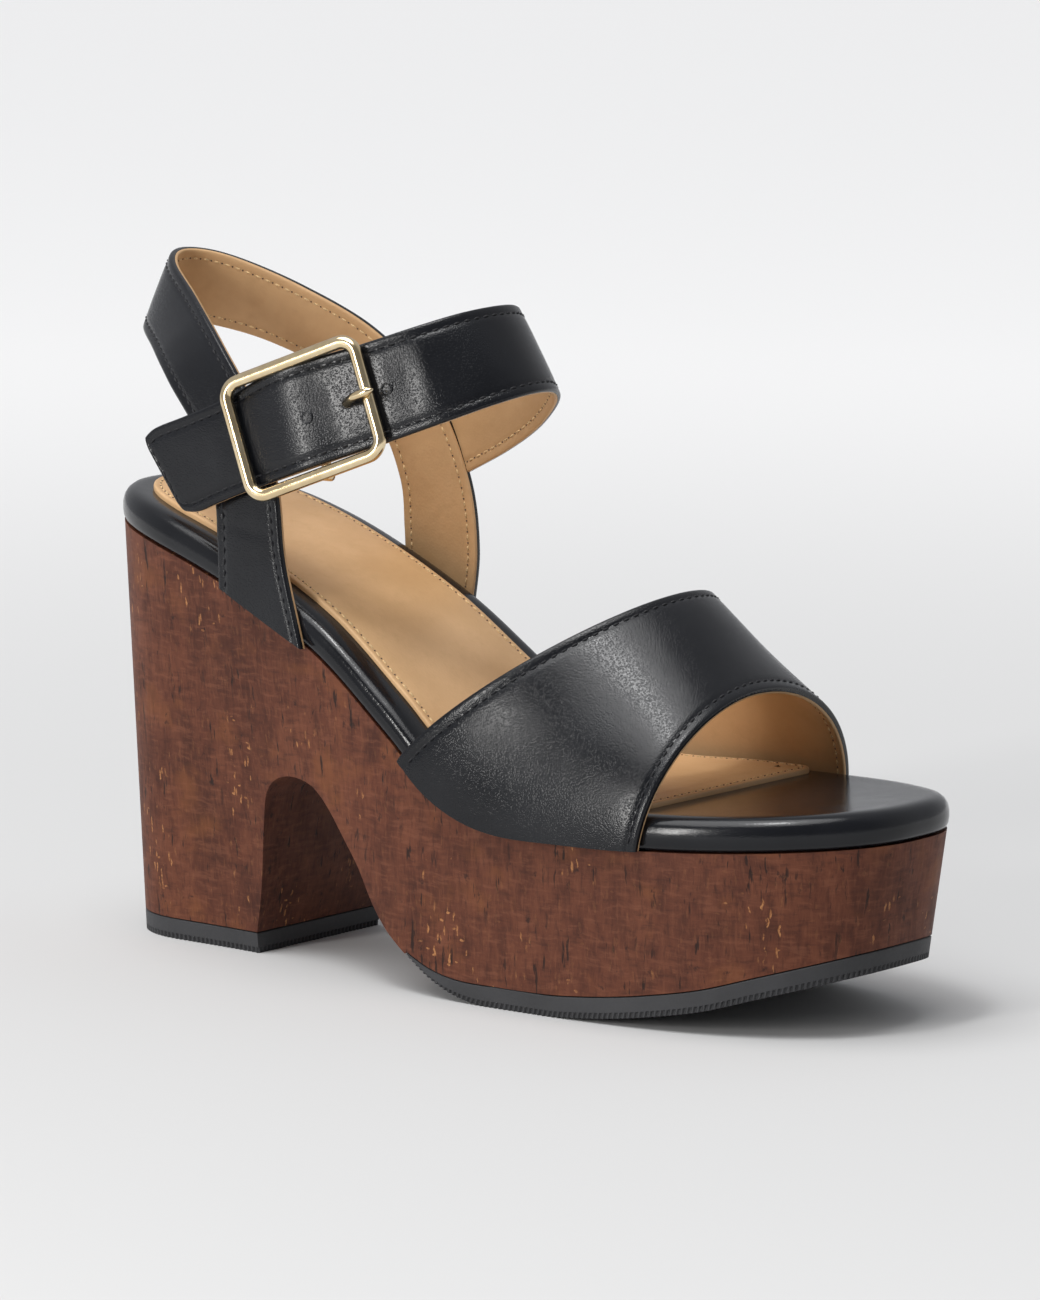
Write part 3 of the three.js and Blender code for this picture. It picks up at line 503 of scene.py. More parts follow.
def cork():
    """Dark red-brown cork: fine crossing lines, short cracks, smudges and light flecks in groups."""
    n = Nodes("cork")
    place = n.wobbled(n.place, 90, 2.2 * MM)
    broad = n.streaks((42, 42, 30), None, 4, 0.62)
    blotch = n.streaks((210, 210, 90), place, 4, 0.65)
    brushed = n.streaks((150, 150, 720), place)
    grain = n.streaks((1050, 1050, 150), place)
    tint = n.streaks((52, 52, 66), None, 3, 0.55)
    smudge = n.streaks((230, 230, 190), place, 4)
    crack = n.times(n.mask(n.streaks((620, 620, 95), place), 0.60, 0.66),
                    n.mask(n.streaks((80, 80, 60)), 0.42, 0.56))
    colour = n.ramp(broad, (0.28, (0.0598, 0.01664, 0.00858)), (0.5, (0.1014, 0.02925, 0.01456)),
                    (0.74, (0.1404, 0.04355, 0.02054)))
    # Where each colour lies, how much of it there is, and the colour
    for where, much, layer in (
            (n.mask(blotch, 0.42, 0.70), 0.38, (0.1625, 0.052, 0.02405)),
            (n.mask(blotch, 0.52, 0.32), 0.42, (0.0416, 0.01235, 0.00715)),
            (n.mask(brushed, 0.50, 0.70), 0.34, (0.2145, 0.078, 0.0416)),
            (n.mask(brushed, 0.47, 0.28), 0.42, (0.0338, 0.0104, 0.00624)),
            (n.mask(grain, 0.52, 0.70), 0.30, (0.195, 0.0676, 0.0338)),
            (n.mask(grain, 0.46, 0.30), 0.36, (0.0338, 0.0104, 0.00624)),
            (n.mask(tint, 0.55, 0.72), 0.45, (0.2145, 0.0728, 0.0234)),
            (n.mask(smudge, 0.65, 0.72), 0.70, (0.0169, 0.00715, 0.0052)),
            (crack, 0.85, (0.013, 0.00585, 0.00416))):
        colour = n.mix(n.times(where, much), colour, layer)
    group = n.mask(n.streaks((64, 64, 48), None, 3, 0.55), 0.52, 0.64)
    rough_place = n.wobbled(n.place, 500, 1.2 * MM)
    tall = n.fleck(n.stretched((860, 860, 190), rough_place), 0.54)
    short = n.fleck(n.stretched((430, 430, 900), rough_place), 0.82)
    fleck = n.times(n.math("MAXIMUM", tall, short), n.math("ADD", group, 0.10))
    grit = n.mask(n.noise(1500, 3, 0.65), 0.35, 0.65)
    pale = n.mix(grit, (0.221, 0.0806, 0.0286), (0.43, 0.195, 0.075))
    colour = n.mix(n.math("MINIMUM", fleck, 1.0), colour, pale)
    lines = n.times(n.math("ADD", brushed, grain), 0.5)
    height = n.math("SUBTRACT", lines, n.times(n.math("MAXIMUM", crack, fleck), 0.5))
    return n.set(Base_Color=colour, Roughness=n.span(blotch, 0.70, 0.50),
                 Normal=n.bump(height, 0.16 * MM, 0.6), Specular_IOR_Level=0.26)


def rubber():
    n = Nodes("rubber")
    speck = n.noise(900, 3, 0.6)
    broad = n.mask(n.noise(45, 3, 0.5), 0.3, 0.7)
    return n.set(Base_Color=n.mix(broad, (0.026, 0.0265, 0.029), (0.038, 0.0385, 0.042)),
                 Roughness=n.span(speck, 0.5, 0.72), Normal=n.bump(speck, 0.07 * MM, 0.6))


def yarn(name, scale, high, dark, pale, rough, rise, sheen):
    """Twisted or woven threads."""
    n = Nodes(name)
    twist = n.noise(scale, 2, 0.5)
    return n.set(Base_Color=n.mix(n.mask(twist, 0.35, high), dark, pale), Roughness=rough,
                 Normal=n.bump(twist, rise * MM, 0.7), Sheen_Weight=sheen)


def thread(name, colour, sheen=0.15):
    return yarn(name, 2600, 0.65, toned(0.6, *colour), colour, 0.62, 0.06, sheen)


def elastic():
    return yarn("elastic", 2400, 0.7, (0.008, 0.008, 0.010), (0.022, 0.022, 0.026), 0.7, 0.08, 0.2)


def pale_gold():
    n = Nodes("pale_gold")
    wear = n.noise(160, 4, 0.6)
    colour = n.mix(n.mask(wear, 0.35, 0.75), (0.72, 0.56, 0.33), (0.86, 0.72, 0.48))
    return n.set(Base_Color=colour, Metallic=1.0, Roughness=n.span(wear, 0.10, 0.22),
                 Normal=n.bump(n.noise(1500, 2, 0.5), 0.01 * MM, 0.35))


# Each look with its slot
BLACK = black_leather("black_leather", 0.23), "black_leather"
GLOSSY = black_leather("footbed_leather", 0.17, 0.3), "black_leather"
TAN = tan_leather("tan_lining", 1.08), "tan_lining"
SOCK_LEATHER = tan_leather("sock_leather", 1.14, 0.46), "tan_lining"
CORK = cork(), "cork"
RUBBER_LOOK = rubber(), "rubber"
BLACK_THREAD = thread("black_thread", (0.004, 0.004, 0.007), 0.0), "black_leather"
TAN_THREAD = thread("tan_thread", (0.80, 0.56, 0.28)), "tan_lining"
# Dark brown dots between the tan stitches: painted shade in the needle holes
NEEDLE_HOLE_SHADE = thread("needle_hole_shade", (0.10, 0.050, 0.022)), "tan_lining"
ELASTIC = elastic(), "black_elastic"
GOLD = pale_gold(), "pale_gold"


def rubber_thick(x):
    """The forefoot's rubber starts thin and is at its full thickness after RUBBER_TAPER."""
    t = np.clip((x - RUBBER_START) / RUBBER_TAPER, 0, 1)
    return RUBBER * (RUBBER_TIP + (1 - RUBBER_TIP) * np.sin(np.pi / 2 * t))


def lid_faces(size, start, up):
    """Strips across a closed outline, from one side to the other."""
    faces = []
    for k in range(size // 2):
        quad = [start + k, start + k + 1, start + (size - k - 1) % size, start + (size - k) % size]
        quad = list(dict.fromkeys(quad))
        if len(quad) > 2:
            faces.append(tuple(quad if up else quad[::-1]))
    return faces


# The sole's sides are ruled from the outline on the floor to the outline under the footbed
BASE_SPAN = LENGTH - BASE_BACK_SET - BASE_TOE_SET


def low_x(s):
    return BASE_BACK_SET + s * BASE_SPAN


def ruling_at(x, z):
    """Ruling (share of LENGTH) and share of the way up it that pass through x and z."""
    s = np.clip(x / LENGTH, 0, 1)
    for _ in range(12):
        v = z / top_line(s * LENGTH)
        s = np.clip((x - (1 - v) * BASE_BACK_SET) / ((1 - v) * BASE_SPAN + v * LENGTH), 0, 1)
    return s, z / top_line(s * LENGTH)


def meet(s, height):
    """x, z and share of the way up where each ruling is at a height that depends on x."""
    x = low_x(s)
    for _ in range(8):
        z = height(x)
        v = z / top_line(s * LENGTH)
        x = (1 - v) * low_x(s) + v * s * LENGTH
    return x, z, v


def wall(side, s, v):
    x = s * LENGTH
    low = np.stack([low_x(s), base_edge(side, x), 0 * x], -1)
    high = np.stack([x, foot_edge(side, x), top_line(x)], -1)
    return low + (high - low) * np.asarray(v)[..., None]


def ease_steps(start, end, steps, fine_start):
    """Stations between two shares of LENGTH, closer together at the start or at the end."""
    turn = np.pi * (np.arange(steps + 1) / steps) / 2
    return start + (end - start) * (1 - np.cos(turn) if fine_start else np.sin(turn))


def block_profile():
    """Underside of the cork block, from the back of the heel to the toe, as x and z."""
    heel_z = RUBBER + GAP
    heel_share = float(ruling_at(np.array(HEEL_FRONT), np.array(heel_z))[0])
    heel = meet(ease_steps(0, heel_share, 44, True), lambda x: heel_z + 0 * x)
    low_start = float(underside(RUBBER_START))
    arch = catmull([(HEEL_FRONT, heel_z), *((a * LENGTH, u * BALL_RISE) for a, u in ARCH),
                    (RUBBER_START - GAP, low_start)], np.arange(1, 90) / 90)
    front = meet(ease_steps(RUBBER_START / LENGTH, 1, 80, False),
                       lambda x: underside(x) + rubber_thick(x) + GAP)
    front = np.stack(front[:2], 1)
    step = [[RUBBER_START, low_start + float(rubber_thick(RUBBER_START)) + GAP]]
    return np.vstack([np.stack(heel[:2], 1), arch, step, front[front[:, 0] > RUBBER_START]])


EDGE_ROUND = 0.35 * MM
EDGE_ANGLE = 40


def cork_block():
    rows, across = 26, 10
    profile = block_profile()
    s, v = ruling_at(profile[:, 0], profile[:, 1])
    s[0], s[-1] = 0, 1
    height = v + (1 - v) * (np.arange(rows + 1) / rows)[:, None]
    lateral, medial = (wall(side, np.broadcast_to(s, height.shape), height) for side in SIGN)
    share = (np.arange(across + 1) / across)[:, None, None]
    around = (lateral, lateral[-1] + (medial[-1] - lateral[-1]) * share,
              medial[::-1], medial[0] + (lateral[0] - medial[0]) * share)
    solid = merge(*((part, grid_faces(*part.shape[:2])) for part in around))
    block = make("cork_block", *solid, CORK, 0.004 * MM, EDGE_ANGLE)
    bevel = block.modifiers.new("rounded edges", "BEVEL")
    bevel.width = EDGE_ROUND
    bevel.segments = 2
    bevel.limit_method = "ANGLE"
    bevel.angle_limit = math.radians(EDGE_ANGLE)
    bevel.miter_outer = "MITER_ARC"
    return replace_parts(block, "platform")


SERRATION = 1.5 * MM
SERRATION_DEEP = 0.5 * MM
SERRATION_TALL = 1.7 * MM
RUBBER_STEPS = 500
# Height of each outline of the rubber, how far it is drawn in, and how deep its grooves are
RUBBER_RINGS = [
    (0.0, 0.25 * MM, SERRATION_DEEP), (0.15 * MM, 0.0, SERRATION_DEEP),
    (SERRATION_TALL - 0.35 * MM, 0.0, SERRATION_DEEP), (SERRATION_TALL, 0.0, 0.0),
    (RUBBER - 0.25 * MM, 0.0, 0.0), (RUBBER, 0.25 * MM, 0.0),
]


def rubber_piece(name, cut_x, bottom, thick, to_toe):
    """Rubber under the heel or the forefoot, with a finely ribbed lower edge."""
    cut, cut_share = np.array([cut_x]), cut_x / LENGTH
    s = (ease_steps(cut_share, 1, RUBBER_STEPS, False) if to_toe
         else ease_steps(0, cut_share * 1.03, RUBBER_STEPS, True)[::-1])

    def curve(height):
        """The outline but for its straight cut, from the lateral side round to the medial."""
        def level(x):
            return bottom(x) + height * thick(x) / RUBBER
        halves = []
        for side in SIGN:
            p = wall(side, s, meet(s, level)[2])
            corner = wall(side, *ruling_at(cut, level(cut)))
            halves.append(np.vstack([corner, p[p[:, 0] > cut_x if to_toe else p[:, 0] < cut_x]]))
        return np.vstack([halves[0], halves[1][::-1]])

    flat = curve(0.0)
    count = 4 * int(reaches(flat)[-1] / SERRATION) + 1
    straight = 4 * int(abs(flat[0, 1] - flat[-1, 1]) / SERRATION)
    share = (np.arange(1, straight) / straight)[:, None]
    rows = []
    for height, tuck, groove in RUBBER_RINGS:
        around = resampled(curve(height), count)
        loop = np.vstack([around, around[-1] + (around[0] - around[-1]) * share])
        depth = (tuck + groove * (np.arange(len(loop)) % 4 < 2)) * (1 if to_toe else -1)
        loop[:, :2] = inset(loop[:, :2], depth)
        rows.append(loop)
    size = len(rows[0])
    faces = grid_faces(len(rows), size, close_columns=True)
    lid = [(k, k + 1, count - 2 - k, count - 1 - k) for k in range(count // 2)]
    lid.append((0, *range(count - 1, size)))
    faces += [tuple(start + i for i in face) for start in (0, (len(rows) - 1) * size) for face in lid]
    return make(name, np.vstack(rows), faces, RUBBER_LOOK, 0.002 * MM, 35)


FOOT_STEPS = 150
# Inset in mm, and height as a share of the sock's thickness; the dip is the stitches' groove
SOCK_PROFILE = [
    (0.0, -0.3), (0.0, 0.45), (0.12, 0.75), (0.4, 0.92), (0.8, 0.97), (1.3, 0.95), (1.7, 0.86),
    (2.1, 0.86), (2.5, 0.95), (3.6, 1.05), (5.5, 1.15), (8.0, 1.2),
]
SOCK_BASE = GAP + FOOTBED_THICK + GAP
SOCK_STITCH_IN = 1.9 * MM
SOCK_STITCH_UP = 0.94 * SOCK_THICK


def slab(name, loop, profile, base, tall, look, sharp):
    """Sheet over the sole: an outline at the profile's insets in mm and shares of its height."""
    rows = []
    for distance, up in profile:
        ring = inset(loop, distance * MM)
        rows.append(np.column_stack([ring, top_line(ring[:, 0]) + base + up * tall]))
    size = len(loop)
    faces = grid_faces(len(rows), size, close_columns=True)
    faces += lid_faces(size, 0, False) + lid_faces(size, (len(rows) - 1) * size, True)
    return make(name, np.vstack(rows), faces, look, 0.004 * MM, sharp)


def footbed():
    edge_in = [(distance - FOOTBED_PROUD / MM, up) for distance, up in FOOTBED_EDGE]
    bed = slab("footbed_wrap", outline(foot_edge, FOOT_STEPS), edge_in, GAP, FOOTBED_THICK,
               GLOSSY, 60)
    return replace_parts(bed, "footbed")


def sock_inset(loop):
    """Distance from the footbed's outline to the sock's edge."""
    t = np.clip((loop[:, 0] / LENGTH - SOCK_WIDENS[0]) / (SOCK_WIDENS[1] - SOCK_WIDENS[0]), 0, 1)
    wide = SOCK_INSET + (SOCK_BALL_INSET - SOCK_INSET) * t * t * (3 - 2 * t)
    return np.where(loop[:, 1] > 0, wide, SOCK_INSET)


def sock_loop():
    """Outline of the sock in plan: heel, lateral side, front edge, medial side."""
    loop = outline(foot_edge, 2 * FOOT_STEPS)
    ring = inset(loop, sock_inset(loop))
    half = len(ring) // 2
    sides = {"lateral": (ring[:half], SOCK_INSET),
             "medial": (np.vstack([ring[0], ring[half:][::-1]]), SOCK_BALL_INSET)}
    turn = np.linspace(0, np.pi / 2, 24)[1:]
    paths = []
    for side, (path, edge_in) in sides.items():
        y = float(foot_edge(side, np.array(SOCK_FRONT))) - SIGN[side] * (edge_in + SOCK_CORNER)
        centre = np.array([SOCK_FRONT - SOCK_CORNER, y])
        arc = centre + SOCK_CORNER * np.stack([np.sin(turn), SIGN[side] * np.cos(turn)], 1)
        path = path[path[:, 0] < centre[0]]
        paths.append(resampled(np.vstack([path, arc, [SOCK_FRONT, 0.0]]), 260))
    return np.vstack([paths[0], paths[1][1:-1][::-1]])


def sock():
    loop = sock_loop()
    top = slab("sock", loop, SOCK_PROFILE, SOCK_BASE, SOCK_THICK, SOCK_LEATHER, 50)
    ring = inset(loop, SOCK_STITCH_IN)
    path = np.column_stack([ring, top_line(ring[:, 0]) + SOCK_BASE + SOCK_STITCH_UP])
    path = np.vstack([path, path[:1]])
    tan_rows("sock", [(path, np.broadcast_to([0.0, 0.0, 1.0], path.shape))])
    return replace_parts(top, "sock_lining")


STITCH_RINGS = 5
STITCH_SIDES = 6
STITCH_TIP = 0.12
STITCH_SINK = 0.6


def stitch_rows(name, routes, look, long=STITCH_LONG, thick=STITCH_THICK, shift=0.0):
    """One mesh of stitches along routes, each a path and the surface's outward directions."""
    share = np.linspace(0, 1, STITCH_RINGS)
    bulge = np.sin(np.pi * share)[:, None]
    fat = thick / 2 * np.sqrt(np.maximum(STITCH_TIP, bulge))
    turn = turns(STITCH_SIDES)[:, None]
    faces = grid_faces(STITCH_RINGS, STITCH_SIDES, close_columns=True)
    faces += end_faces(STITCH_RINGS, STITCH_SIDES)
    parts = []
    for path, out in routes:
        reach = reaches(path)
        count = int(reach[-1] / STITCH_PITCH)
        centre = (np.arange(count) + 0.5 + shift) * reach[-1] / count
        start, middle, end = (rows_at(centre + d, reach, path) for d in (-long / 2, 0, long / 2))
        along = unit(end - start)[:, None]
        side = unit(np.cross(unit(rows_at(centre, reach, out))[:, None], along))
        normal = np.cross(along, side)
        line = (middle[:, None] + along * (long * (share - 0.5))[:, None]
                - normal * (STITCH_SINK * thick * (1 - bulge)))
        ring = np.cos(turn) * side + np.sin(turn) * normal
        parts += [(stitch, faces) for stitch in line[:, :, None] + fat[:, None] * ring[:, None]]
    return make(name, *merge(*parts), look)


def tan_rows(name, routes):
    """Tan stitches, and between them dark brown dots that paint the shade in the needle holes."""
    stitch_rows(name + "_stitches", routes, TAN_THREAD)
    sunk = [(path - out * HOLE_SHADE_SINK, out) for path, out in routes]
    stitch_rows(name + "_needle_hole_shades", sunk, NEEDLE_HOLE_SHADE, HOLE_SHADE_LONG, HOLE_SHADE_THICK, 0.5)


# Height of a leather face against the distance from its edge, both in mm
FACE = np.array([
    (0.0, -0.55), (0.12, -0.26), (0.4, -0.07), (0.9, 0.0), (STITCH_IN / MM - 0.6, 0.0),
    (STITCH_IN / MM - 0.25, -0.14), (STITCH_IN / MM + 0.25, -0.14), (STITCH_IN / MM + 0.6, 0.02),
    (STITCH_IN / MM + 1.8, 0.12), (STITCH_IN / MM + 5.0, 0.2), (40.0, 0.2),
])
NEAR = FACE[:-1, 0] * MM
LAYER_GAP = 0.05 * MM
STITCH_SEAT = -0.02 * MM


def across_rows(width, inner=7):
    """Shares across a strap: near its edges at fixed distances, and evenly between."""
    most = 0.46 * (np.arange(len(NEAR)) / (len(NEAR) - 1))[:, None] + 0.02
    near = np.minimum(NEAR[:, None] / width, most)
    share = (np.arange(1, inner) / inner)[:, None]
    middle = near[-1:] + (1 - 2 * near[-1:]) * share
    return np.vstack([near, middle, 1 - near[::-1]])


def leather(name, middle, out, away, half, outer=True):
    """Outer leather or lining over a surface; its face follows FACE near the edges."""
    heights = FACE[:, 1] * MM * (1 if outer else 0.5)
    face = middle + out * (half + np.interp(away, FACE[:, 0] * MM, heights))[..., None]
    back = middle + out * (LINING - half if outer else half - LINING + LAYER_GAP)
    return make(name, *shell(face, back), BLACK if outer else TAN, 0.001 * MM, 50)


class Ribbon:
    """A strap between a low and a high edge."""

    def __init__(self, low, high):
        self.low = np.asarray(low, float)
        self.high = np.asarray(high, float)
        self.length = reaches(self.middle(np.linspace(0, 1, 400)))[-1]

    def surface(self, t, v):
        a, b = catmull(self.low, t), catmull(self.high, t)
        return a + (b - a) * np.asarray(v)[..., None]

    def middle(self, t):
        return self.surface(t, 0.5 + 0 * t)

    def out(self, t):
        step = 1e-3
        before, after = np.maximum(t - step, 0), np.minimum(t + step, 1)
        return unit(np.cross(unit(self.across(t)), unit(self.middle(after) - self.middle(before))))

    def across(self, t):
        return catmull(self.high, t) - catmull(self.low, t)

    def width(self, t):
        return np.linalg.norm(self.across(t), axis=-1)

    def grid(self, start, end, steps, corner=None):
        """Shares t and v over the strap, and distances from an edge; a corner rounds its tail."""
        share = np.linspace(0, 1, steps + 1)
        if corner:
            tail = NEAR[::-1] / self.length / (end - start)
            share = np.concatenate([share[share < 1 - tail[0]], 1 - tail])
        width = self.width(start + (end - start) * share)
        v = across_rows(width)
        away = np.minimum(v, 1 - v) * width
        t = np.broadcast_to(start + (end - start) * share, v.shape).copy()
        if corner:
            turned = np.clip(corner - away[:, -1], 0, corner)
            cut = corner - np.sqrt(np.maximum(corner ** 2 - turned ** 2, 0))
            t -= (cut / self.length)[:, None] * np.clip((share - 0.8) / 0.2, 0, 1)
            away = np.minimum(away, (1 - share) * (end - start) * self.length)
        return t, v, away

    def layer(self, name, grid, half, lift=None, outer=True):
        t, v, away = grid
        middle, out = self.surface(t, v), self.out(t)
        if lift is not None:
            middle = middle + out * lift(t, v)[..., None]
        return leather(name, middle, out, away, half, outer)

    def lining(self, name, grid, half):
        """The layer on the inner side, so the strap's edges change places."""
        return Ribbon(self.high, self.low).layer(name, grid, half, outer=False)

    def seams(self, start, end, height, lift=None):
        """Routes of the stitch rows along both edges."""
        t = np.linspace(start, end, 500)
        out = self.out(t)
        routes = []
        for v in (STITCH_IN / self.width(t), 1 - STITCH_IN / self.width(t)):
            path = self.surface(t, v) + out * height
            if lift is not None:
                path = path + out * lift(t, v)[..., None]
            routes.append((path, out * np.sign(height)))
        return routes


def strap_root(side, x):
    clear = FOOTBED_PROUD + GAP + STRAP_EASE + STRAP_WALL / 2
    return abs(float(foot_edge(side, np.array(max(x, HEEL_REAR[0][0] * LENGTH))))) + clear


def heel_strap_edge(rows):
    def point(side, row):
        x = row[1 if side == "medial" else 0] * LENGTH
        foot = float(top_line(x)) + GAP
        reach = HEEL_RISE + BACK_REACH
        return (x, SIGN[side] * strap_root(side, x) * row[2], foot + (reach - foot) * row[3])
    return [point("lateral", row) for row in rows] + [point("medial", row) for row in rows[-2::-1]]


heel_ribbon = Ribbon(heel_strap_edge(HEEL_REAR), heel_strap_edge(HEEL_FORE))
ANKLE_HALF = strap_root("lateral", HEEL_FORE[2][0] * LENGTH)
ankle_ribbon = Ribbon(*(
    [(row[k] * LENGTH, row[k + 1] * ANKLE_HALF, HEEL_RISE + row[k + 2] * BACK_REACH) for row in ANKLE]
    for k in (0, 3)))

# The leather spreads a little behind the buckle's top bar
SPREAD = np.array([0, 0, 0, 0, 0, 0, 0, 0, 0, 0.3, 1.8, 1.9, 0.5, 0, 0, 0]) * MM
spread_ribbon = Ribbon(ankle_ribbon.low, ankle_ribbon.high
                       + unit(ankle_ribbon.high - ankle_ribbon.low) * SPREAD[:, None])

ANKLE_START = 0.045
TAIL_CORNER = 4 * MM
# Soft ridges and troughs across the straps: row of the strap's table, share across it, and in mm
# how wide they are along the strap, how long across it and how high
ANKLE_CREASES = [
    (8.75, 0.62, 1.6, 9.0, 0.16), (8.42, 0.40, 2.0, 8.0, -0.18), (8.05, 0.60, 2.2, 9.0, 0.16),
    (7.55, 0.35, 2.6, 8.0, -0.14), (6.95, 0.62, 3.0, 8.0, 0.12), (10.9, 0.40, 2.0, 9.0, -0.07),
    (9.75, 0.60, 1.6, 7.0, -0.08), (12.4, 0.50, 3.0, 9.0, 0.10),
]
HEEL_CREASES = [
    (1.35, 0.55, 2.2, 9.0, -0.14), (2.3, 0.40, 2.6, 8.0, 0.14), (3.1, 0.60, 3.0, 9.0, -0.16),
    (4.6, 0.45, 3.4, 8.0, 0.14), (9.6, 0.50, 3.0, 9.0, -0.14), (11.4, 0.50, 2.4, 8.0, 0.12),
]
CREASE_SLANT = 0.35
SWELL = 1.3 * MM
SWELL_AT = -3.0 * MM
SWELL_HALF = 13.0 * MM
SWELL_ROWS = 2.5


def creases(table, ribbon):
    """Height over a strap, from its table of soft creases."""
    def lift(t, v):
        reach = t * ribbon.length
        width = ribbon.width(t)
        height = 0 * t
        for row, middle, wide, long, up in table:
            along = (reach - row / (len(ribbon.low) - 1) * ribbon.length) / (wide * MM)
            across = (v - middle) * width / (long * MM)
            height = height + up * MM * np.exp(-(along + CREASE_SLANT * across) ** 2 - across ** 2)
        return height
    return lift


def ankle_lift(t, v):
    """The ankle strap's creases, and its swell over the centre bar inside the buckle."""
    along = np.abs((ankle_ribbon.middle(t) - Buckle.origin) @ Buckle.u - SWELL_AT)
    share = np.clip(along / SWELL_HALF, 0, 1)
    near = np.abs(t * ANKLE_LAST - BUCKLE_MIDDLE) < SWELL_ROWS
    swell = np.where(near, SWELL * np.cos(np.pi / 2 * share) ** 2, 0.0)
    return swell + creases(ANKLE_CREASES, spread_ribbon)(t, v)


def heel_strap():
    half = STRAP_WALL / 2
    lift = creases(HEEL_CREASES, heel_ribbon)
    outer = heel_ribbon.layer("heel_strap_outer", heel_ribbon.grid(0, 1, 260), half, lift)
    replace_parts(outer, "heel_and_ankle_strap")
    heel_ribbon.lining("heel_strap_lining", heel_ribbon.grid(0, 1, 200), half)
    outside = heel_ribbon.seams(0.004, 0.996, half + STITCH_SEAT, lift)
    stitch_rows("heel_strap_stitches", outside, BLACK_THREAD)
    tan_rows("heel_strap_lining", heel_ribbon.seams(0.004, 0.996, -half - STITCH_SEAT))


def ankle_strap():
    half = ANKLE_WALL / 2
    grid = spread_ribbon.grid(ANKLE_START, 1, 300, TAIL_CORNER)
    outer = spread_ribbon.layer("ankle_strap_outer", grid, half, ankle_lift)
    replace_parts(outer, "heel_and_ankle_strap")
    inner = spread_ribbon.grid(ANKLE_START, 0.998, 240, TAIL_CORNER)
    spread_ribbon.lining("ankle_strap_lining", inner, half)
    stop = 1 - (STITCH_IN + STITCH_LONG / 2) / spread_ribbon.length
    outside = spread_ribbon.seams(ANKLE_START, stop, half + STITCH_SEAT, ankle_lift)
    t = np.full(60, 1 - STITCH_IN / spread_ribbon.length)
    out = spread_ribbon.out(t)
    tail = spread_ribbon.surface(t, np.linspace(0.14, 0.86, 60)) + out * (half + STITCH_SEAT)
    outside.append((tail, out))
    stitch_rows("ankle_strap_stitches", outside, BLACK_THREAD)
    tan_rows("ankle_strap_lining", spread_ribbon.seams(ANKLE_START, stop, -half - STITCH_SEAT))


vamp_lateral, vamp_crest, vamp_medial, vamp_height, vamp_middle = (
    column([(i / 3, *row) for i, row in enumerate(VAMP)], k) for k in range(1, 6))


def vamp_surface(t, turn):
    """Middle of the vamp's wall: t from back to front, turn from the lateral edge to the medial."""
    lateral = turn < 0.5
    lift = np.sin(np.pi * turn)
    root_x = np.where(lateral, vamp_lateral(t), vamp_medial(t)) * LENGTH
    crest_x = vamp_crest(t) * LENGTH
    x = root_x + (crest_x - root_x) * lift ** VAMP_SLANT_POWER
    clear = FOOTBED_PROUD + GAP + STRAP_EASE + VAMP_WALL / 2
    root_y = np.where(lateral, foot_edge("lateral", x) - clear, foot_edge("medial", x) + clear)
    crest_y = vamp_middle(t) * BALL_WIDTH
    y = crest_y + (root_y - crest_y) * np.abs(np.cos(np.pi * turn))
    root_z = top_line(root_x) + GAP
    crest_z = top_line(crest_x) + FOOTBED_THICK + vamp_height(t) * VAMP_CREST
    return np.stack([x, y, root_z + (crest_z - root_z) * lift ** VAMP_RISE_POWER], -1)


def vamp_out(t, turn):
    step = 1e-3
    ahead = vamp_surface(np.minimum(t + step, 1), turn) - vamp_surface(np.maximum(t - step, 0), turn)
    aside = vamp_surface(t, np.minimum(turn + step, 1)) - vamp_surface(t, np.maximum(turn - step, 0))
    out = unit(np.cross(ahead, aside))
    flat = out * np.array([1.0, 1.0, 0.0])
    return unit(np.where(((turn < 1e-6) | (turn > 1 - 1e-6))[..., None], flat, out))


def vamp_across(turn):
    """Length of the vamp from its back edge to its front edge."""
    line = np.linspace(0, 1, 40)[:, None] + 0 * turn
    return np.linalg.norm(np.diff(vamp_surface(line, turn + 0 * line), axis=0), axis=2).sum(0)


def vamp_seams(height):
    turn = np.linspace(0.01, 0.99, 400)
    near = STITCH_IN / vamp_across(turn)
    routes = []
    for t in (near, 1 - near):
        out = vamp_out(t, turn)
        routes.append((vamp_surface(t, turn) + out * height, out * np.sign(height)))
    return routes


def vamp():
    half = VAMP_WALL / 2
    turn = np.linspace(0, 1, 181)
    across = vamp_across(turn)
    t = across_rows(across, 22)
    turn = np.broadcast_to(turn, t.shape)
    away = np.minimum(t, 1 - t) * across
    middle, out = vamp_surface(t, turn), vamp_out(t, turn)
    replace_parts(leather("vamp_outer", middle, out, away, half), "vamp_strap")
    leather("vamp_lining", middle, -out, away, half, outer=False)
    stitch_rows("vamp_stitches", vamp_seams(half + STITCH_SEAT), BLACK_THREAD)
    tan_rows("vamp_lining", vamp_seams(-half - STITCH_SEAT))


ANKLE_LAST = len(ANKLE) - 1
BUCKLE_MIDDLE = sum(BUCKLE_ENDS) / 2


class Buckle:
    """The buckle's own axes: u along the strap to the front, v across it, w outwards."""

    front, back = ankle_ribbon.middle(np.array(BUCKLE_ENDS) / ANKLE_LAST)
    u = unit(front - back)
    w = unit(np.cross(u, ankle_ribbon.across(np.array([BUCKLE_MIDDLE / ANKLE_LAST]))[0]))
    v = np.cross(w, u)
    origin = (front + back) / 2 + w * (BUCKLE_DEPTH / 2 + GAP + ANKLE_WALL / 2)

    @classmethod
    def at(cls, along, over, out):
        return (cls.origin + np.multiply.outer(along, cls.u) + np.multiply.outer(over, cls.v)
                + np.multiply.outer(out, cls.w))


